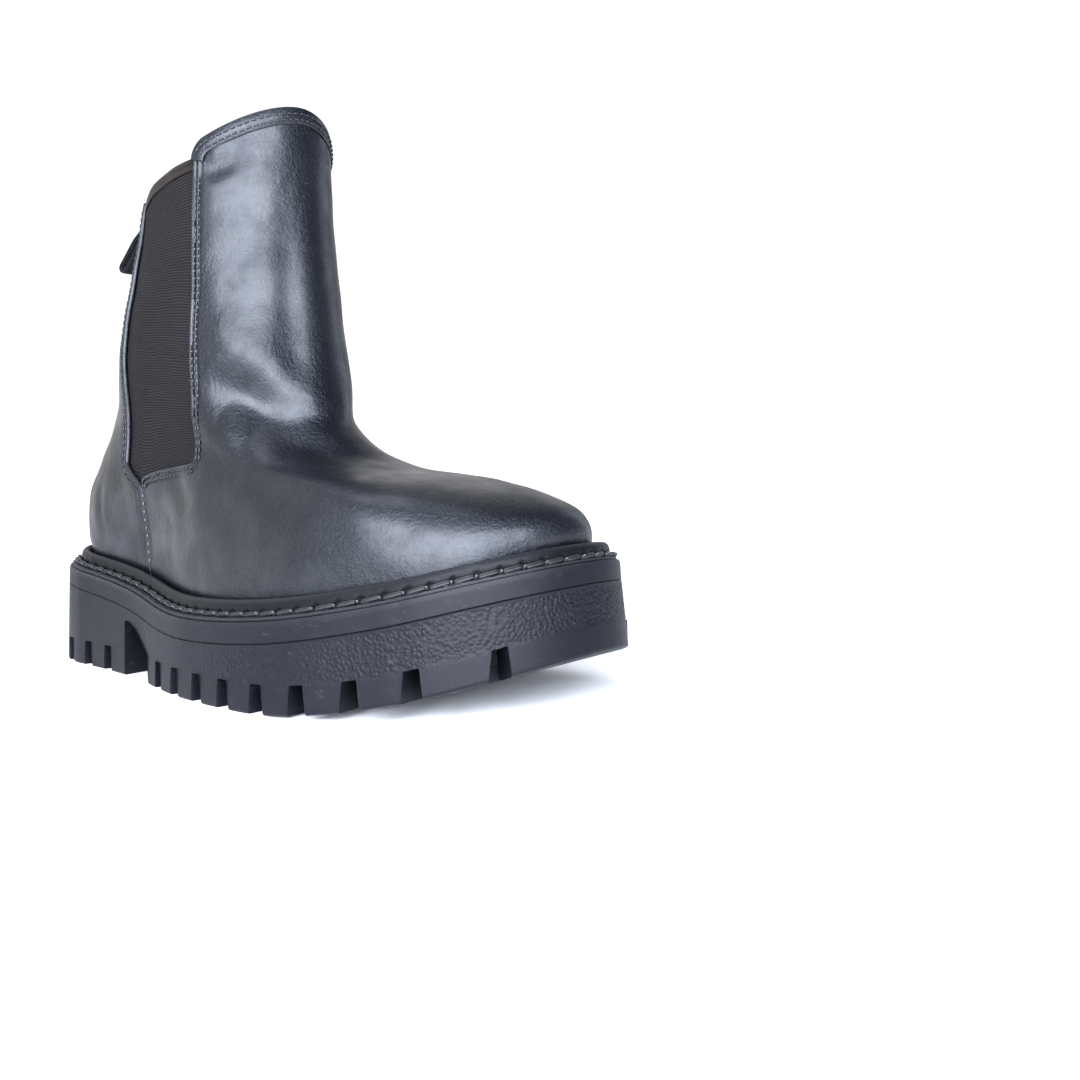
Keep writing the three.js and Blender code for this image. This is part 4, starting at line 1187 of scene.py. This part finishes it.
def build_gore(side, node, name):
    long = 132.0
    rows, cols = int(long / RIB_PITCH * 6), 60
    share = np.linspace(0, 1, cols)
    j = share if side < 0 else 1 - share
    y = mix(GORE_FRONT_Y - GORE_TUCK, GORE_BACK_Y + GORE_TUCK, j)
    low = smooth_through(GORE_EDGE_Y, GORE_EDGE_LEVEL, y)
    high = mix(GORE_TOP, GORE_TOP + 0.12, j)
    up = np.linspace(0, 1, rows)[:, None]
    heights = mix(np.interp(low, range(11), LEVEL_HEIGHT), np.interp(high, range(11), LEVEL_HEIGHT), up)
    level = np.interp(heights, LEVEL_HEIGHT, range(11))
    angle = side * angle_at(level, y[None])
    face, out = skin(level, angle, GORE_DEPTH)
    wobble = 0.12 * np.sin(y / 5.2 + up * 9) + 0.1 * np.sin(y / 2.3 - up * 31)
    rib = 0.5 + 0.5 * np.sin(2 * math.pi * (up * long / RIB_PITCH + wobble))
    face = face + out * (0.26 * rib - 0.05)[..., None]
    back, _ = skin(level, angle, GORE_DEPTH + GORE_THICK)
    points, faces = sheet_shell(face, back, bulge=0.3, rings=1)
    size = face.shape[0] * face.shape[1]
    # The rib mark also sets the colour: painted shade in the valleys between ribs.
    marks = {"rib": np.zeros(len(points)), "lay": np.zeros((len(points), 3))}
    marks["rib"][:size] = rib.ravel()
    lay = np.stack(np.broadcast_arrays(y[None], up * long, 0 * up), -1)
    marks["lay"][:size] = lay.reshape(-1, 3)
    made = make_piece(name, points, faces, elastic, [node], sharp=80, marks=marks, weld=False)
    area = sum(p.area for p in made.data.polygons) / 2
    print(name, "area cm2:", round(area * 1e4, 1))
    return made


gores = {
    1: build_gore(1, "gore_lateral", "gore_outer"),
    -1: build_gore(-1, "gore_medial", "gore_inner"),
}

# %% [markdown]
# ## Bindings
# Raw edges at the top are wrapped. A narrow woven tape is folded over each gore, and a strip of leather
# over the vamp's top line. Both are one section, a rounded hairpin, carried along the edge.


# %% Folded strips
# The crown of the top line's fold is painted lighter than its legs: painted highlight on the crown, together
# with rubbing.
FOLD_TOP, CROWN_RUB_AND_HIGHLIGHT, LEG_RUB_AND_HIGHLIGHT = -0.6, 0.7, 0.05


def hairpin(outside, inside, thick, drop, turns=7):
    """A closed section of a folded strip as (out, down) pairs, the fold at the top."""
    middle, reach = (outside - inside) / 2, (outside + inside) / 2
    bend = [math.pi * k / (turns - 1) for k in range(turns)]
    crown = -GAP - thick * 0.2
    over = [(middle + (reach + thick) * math.cos(t), crown - (thick + 0.9) * math.sin(t)) for t in bend]
    under = [(middle + reach * math.cos(t), -GAP - 0.7 * math.sin(t)) for t in reversed(bend)]
    outer_leg = [(outside, drop), (outside + thick * 0.5, drop + 0.25), (outside + thick, drop)]
    inner_leg = [(-inside - thick, drop), (-inside - thick * 0.5, drop + 0.25), (-inside, drop)]
    return outer_leg + over + inner_leg + under


def carried(levels, angles, section):
    """The section at every place of a line on the skin; `down` runs along the surface."""
    at, out = skin(levels, angles, 0)
    along = unit(np.gradient(at, axis=0))
    down = unit(np.cross(along, out))
    down *= np.sign(-down[:, 2:3])
    grid = np.stack([at + out * a + down * b for a, b in section])
    return grid


def strip_piece(name, levels, angles, section, finish, nodes):
    grid = carried(levels, angles, section)
    rows, cols = grid.shape[:2]
    closed = np.concatenate([grid, grid[:1]])
    caps = [[r * cols for r in range(rows)], [r * cols + cols - 1 for r in range(rows)]]
    quads = grid_quads(rows + 1, cols)
    faces = [list(f) for f in quads % (rows * cols)] + caps
    walked = np.concatenate([[0], np.cumsum(np.linalg.norm(np.diff(closed[2, :], axis=0), axis=1))])
    lay = np.zeros((rows, cols, 3))
    lay[..., 0] = walked[None]
    lay[..., 1] = (np.arange(rows) * 0.9)[:, None]
    # Only the leather top line reads this mark: its crown is painted lighter as a highlight.
    rub_and_highlight = np.repeat([CROWN_RUB_AND_HIGHLIGHT if down < FOLD_TOP else LEG_RUB_AND_HIGHLIGHT for _, down in section], cols)
    marks = {"lay": lay.reshape(-1, 3), "rub_and_highlight": rub_and_highlight}
    points = grid.reshape(-1, 3)
    return make_piece(name, points, faces, finish, nodes, sharp=60, marks=marks, weld=False)


def gore_tape(side, node, name):
    y = np.linspace(GORE_FRONT_Y + 1, GORE_BACK_Y - 1, 60)
    share = (y - GORE_FRONT_Y + GORE_TUCK) / (GORE_BACK_Y - GORE_FRONT_Y + 2 * GORE_TUCK)
    level = mix(GORE_TOP, GORE_TOP + 0.12, share)
    section = hairpin(-GORE_DEPTH + 0.35, GORE_DEPTH + GORE_THICK + 0.3, 0.5, 3.4)
    return strip_piece(name, level, side * angle_at(level, y), section, tape, [node])


gore_tape(1, "gore_tape_lateral", "gore_tape_outer")
gore_tape(-1, "gore_tape_medial", "gore_tape_inner")

corner = np.linspace(0, 0.06, 24)
share = np.concatenate([corner, np.linspace(0.06, 0.94, 150)[1:-1], np.linspace(0.94, 1, 24)])
top_levels = vamp_top(share)
top_angles = mix(-angle_at(top_levels, GORE_FRONT_Y), angle_at(top_levels, GORE_FRONT_Y), share)
top_section = hairpin(0.12, INNER + LINING + 0.3, 0.5, 5.6)
binding = strip_piece(
    "top_line", top_levels, top_angles, top_section, upper_leather, ["top_binding"]
)


def top_stitches():
    at, out = skin(top_levels, top_angles, 0)
    tree = surface_of(binding)
    tracks = [stitched_line(at[3:-3], out[3:-3], np.array([0, 0, -1.0]), d, tree) for d in (1.7, 4.1)]
    points, faces = stitch_rows(tracks)
    return make_piece("top_stitching", points, faces, seam_thread, sharp=80)


top_stitches()

# %% [markdown]
# ## Lining and footbed
# Inside, the boot is lined down to the insole, and a padded footbed lies on it. They are seen from above,
# so the lining follows the same folds as the leather, and the footbed is dished, with a rolled edge and a
# dotted cover.

# %% Lining
def lining_panel(name, node, edges, top, cols):
    levels = row_levels(0.3, 3.2, (2.2, 3.6, 20))
    level, angle = panel_grid(0.3, top, edges, levels, np.linspace(0, 1, cols))
    face, _ = panel_face(level, angle, INNER)
    inner, _ = panel_face(level, angle, INNER + LINING)
    points, faces = sheet_shell(face, inner, bulge=0.6, rings=1)
    return make_piece(name, points, faces, lining_leather, [node])


def vamp_edges(level):
    edge = angle_at(level, vamp_edge_y(level))
    return edge, -edge


def quarter_edges(level):
    edge = angle_at(level, quarter_edge_y(level))
    return 2 * math.pi - edge, edge


def quarter_top(j):
    return back_top(np.abs(2 * j - 1))


lining_panel("vamp_lining_panel", "vamp_lining", vamp_edges, vamp_top, 110)
lining_panel("quarter_lining_panel", "quarter_lining", quarter_edges, quarter_top, 70)
print("lining ready")


# %% Footbed: a section as (share of the way from the rim to the middle line, height in mm), under side first
FOOTBED_INSET, FOOTBED_LOW = 21.2, 5.2
FOOTBED_SECTION = [
    (1, 0), (0.5, 0), (0, 0), (-0.012, 1.6), (-0.004, 3.0), (0.02, 3.8), (0.06, 4.0),
    (0.12, 3.85), (0.2, 3.5), (0.32, 3.1), (0.5, 2.8), (0.75, 2.6), (1, 2.5),
]


def build_footbed():
    half = len(ring_places(1.6)[0]) // 2
    angle = np.linspace(math.pi, 0, half + 1)
    angle = np.concatenate([angle, -angle[-2:0:-1]])
    edge, inward = sole_edge(angle)
    spine_y = np.clip(edge[:, 1], SOLE["ends"][0] + 52, SOLE["ends"][1] - 46)
    spine = np.stack([middle_x(spine_y), spine_y], -1)
    rim = edge + inward * FOOTBED_INSET
    rows = []
    for share, high in FOOTBED_SECTION:
        flat = mix(rim, spine, share)
        rows.append(np.column_stack([flat, rim_z(flat[:, 1]) + FOOTBED_LOW + high]))
    grid = np.stack(rows)
    faces = grid_quads(len(rows), len(angle), closed=True)
    finish = Finish("footbed_cloth", Specular_IOR_Level=0.2, Sheen_Weight=0.2)
    dot = finish.ramp(finish.cells(5.0, randomness=0), 0.12, 0.2)
    weave = finish.cells(0.7)
    finish.set("Base Color", finish.blend(dot, (0.006, 0.006, 0.006), (0.045, 0.042, 0.04)))
    finish.set("Roughness", weave * 0.1 + 0.8)
    finish.bump(dot * 2 + weave, 0.15, 0.6)
    points, slot = grid.reshape(-1, 3), "footbed_cloth"
    pad = make_piece("footbed_pad", points, faces, finish, ["footbed"], sharp=60)
    return pad


build_footbed()

# %% [markdown]
# ## Back strap and pull tab
# A strip of webbing covers the back seam, and at its top a folded loop of the same webbing helps to pull
# the boot on. The loop hangs down and outward and swings on its stitched root, so it rides on its own
# body. The cut end of the strap stands off a little, with a few loose yarns.

# %% Webbing ribbons
YARN, YARN_RISE = 1.3, 0.05


def ribbon(name, centre, across, out, wide, thick, nodes, body="boot"):
    """A flat woven strip along centre points, with rounded selvedges. Directions have unit length."""
    n = 15
    share = np.linspace(-1, 1, n)
    selvedge = 1 - 0.45 * np.abs(share) ** 8
    walked = np.concatenate([[0], np.cumsum(np.linalg.norm(np.diff(centre, axis=0), axis=1))])
    turn = 2 * math.pi / YARN
    ridge = YARN_RISE * np.sin(walked[:, None] * turn) * np.cos(share[None] * wide / 2 * turn)
    flat = centre[:, None] + across[:, None] * (share * wide / 2)[None, :, None]
    half = selvedge[None] * thick / 2
    top = flat + out[:, None] * (half + ridge)[..., None]
    low = flat - out[:, None] * (half + 0 * ridge)[..., None]
    points, faces = sheet_shell(top, low, bulge=0.6, rings=2)
    lay = np.zeros((len(points), 3))
    place = np.broadcast_arrays(walked[:, None], share[None] * wide / 2, 0 * ridge)
    place = np.stack(place, -1).reshape(-1, 3)
    lay[:len(place)] = place
    lay[len(place):2 * len(place)] = place
    marks = {"lay": lay}
    return make_piece(name, points, faces, webbing, nodes, body, 70, marks, weld=False)


STRAP_WIDE, STRAP_THICK, STRAP_DEPTH, YARN_HALF = 15, 1.3, -0.95, 0.16


def build_back_strap():
    level = np.linspace(3.3, 9.9, 160)
    at, out = skin(level, math.pi, STRAP_DEPTH)
    lift = 1.6 * ease((3.9 - level) / 0.6)
    at = at + out * lift[:, None]
    along = unit(np.gradient(at, axis=0))
    across = unit(np.cross(along, out))
    made = ribbon("back_webbing", at, across, out, STRAP_WIDE, STRAP_THICK, ["back_strap"])
    rng = np.random.default_rng(5)
    count = 26
    spread = rng.uniform(-7, 7, count)
    start = at[0] + across[0] * spread[:, None]
    sideways = across[0] * rng.normal(0, 0.35, (count, 1))
    lean = -along[0] + sideways + out[0] * rng.normal(0.25, 0.3, (count, 1))
    long = rng.uniform(0.9, 2.4, count)
    middle = start + unit(lean) * long[:, None] * 0.6
    parts = [
        beads(middle[k:k + 1], lean[k:k + 1], out[:1], long[k], YARN_HALF, YARN_HALF)
        for k in range(count)
    ]
    points, faces = joined(parts)
    make_piece("strap_fray", points, faces, seam_thread, sharp=80)
    return made


build_back_strap()

PIVOT = Vector(frame["record"]["behaviour"]["joints"][0]["pos_m"]) / MM
TAB_LONG, TAB_WIDE, TAB_THICK, TAB_FOLD = 31, 21, 1.5, 1.4


def build_pull_tab():
    """Two layers that part below the root and meet in a rounded fold at the free end."""
    end = TAB_FOLD + TAB_THICK / 2
    s = np.linspace(-1.2, TAB_LONG - end - TAB_THICK / 2, 50)
    part = mix(0.78, end, ease((s - 5) / 9))
    turn = np.linspace(math.pi / 2, -math.pi / 2, 15)[1:-1]
    run = np.concatenate([s, s[-1] + end * np.cos(turn), s[::-1]])
    rise = np.concatenate([part, end * np.sin(turn), -part[::-1]])
    curl = -0.0006 * np.maximum(run, 0) ** 2
    down = math.radians(45)
    forward = np.array([0, math.cos(down), -math.sin(down)])
    upright = np.array([0, math.sin(down), math.cos(down)])
    pivot = np.array(PIVOT)
    centre = pivot + forward * run[:, None] + upright * (rise - curl)[:, None]
    along = unit(np.gradient(centre, axis=0))
    across = np.tile([1.0, 0, 0], (len(centre), 1))
    out = unit(np.cross(across, along))
    slot, body = "webbing", "pull_tab"
    made = ribbon("pull_loop", centre, across, out, TAB_WIDE, 1.45, ["pull_tab"], body)
    rows = []
    for place in (3.0, 5.4):
        x = np.arange(-8.5, 9, 2.6)
        base = pivot + forward * place + upright * 1.7
        at = base + np.stack([x, 0 * x, 0 * x], -1)
        sideways = np.tile([1.0, 0, 0], (len(x), 1))
        rows.append(beads(at, sideways, np.tile(upright, (len(x), 1)), 1.05, 0.36, 0.3))
    points, faces = joined(rows)
    make_piece("pull_loop_stitching", points, faces, seam_thread, body="pull_tab", sharp=80)
    return made


build_pull_tab()

# %% [markdown]
# ## Hidden layers
# Under the footbed and behind the leather are the parts that give a boot its shape: the insole board, the
# cork filler, the steel shank, and stiffeners at toe and heel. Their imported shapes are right, so they
# stay and only get finishes: pressed fibre, cork, brushed steel and resin-soaked cloth.

# %% Finishes for the hidden layers
def fibre_finish(name, dark, light, size, roughness):
    finish = Finish(name, Specular_IOR_Level=0.3)
    fibre = finish.noise(size, 5, (1.0, 0.35, 1.0), 0.65)
    finish.set("Base Color", finish.blend(fibre, dark, light))
    finish.set("Roughness", fibre * 0.15 + roughness)
    finish.bump(fibre, 0.15, 0.6)
    return finish


HIDDEN = {
    "insole_board": fibre_finish("pressed_board", (0.22, 0.15, 0.09), (0.42, 0.31, 0.2), 3, 0.75),
    "bottom_filler": fibre_finish("cork_filler", (0.16, 0.09, 0.045), (0.4, 0.26, 0.14), 2, 0.8),
    "toe_puff": fibre_finish("toe_stiffener", (0.3, 0.26, 0.2), (0.5, 0.45, 0.36), 2, 0.6),
    "heel_counter": fibre_finish("heel_stiffener", (0.3, 0.26, 0.2), (0.5, 0.45, 0.36), 2.5, 0.6),
}
steel = Finish("shank_steel", Metallic=1.0)
brushed = steel.noise(0.8, 3, (1.0, 0.05, 1.0))
steel.set("Base Color", steel.blend(brushed, (0.42, 0.43, 0.44), (0.6, 0.61, 0.62)))
steel.set("Roughness", brushed * 0.2 + 0.28)
HIDDEN["shank"] = steel
for node, finish in HIDDEN.items():
    held = frame["nodes"][node]
    held.data.materials.clear()
    held.data.materials.append(finish.material)
print("hidden layers:", sorted(HIDDEN))
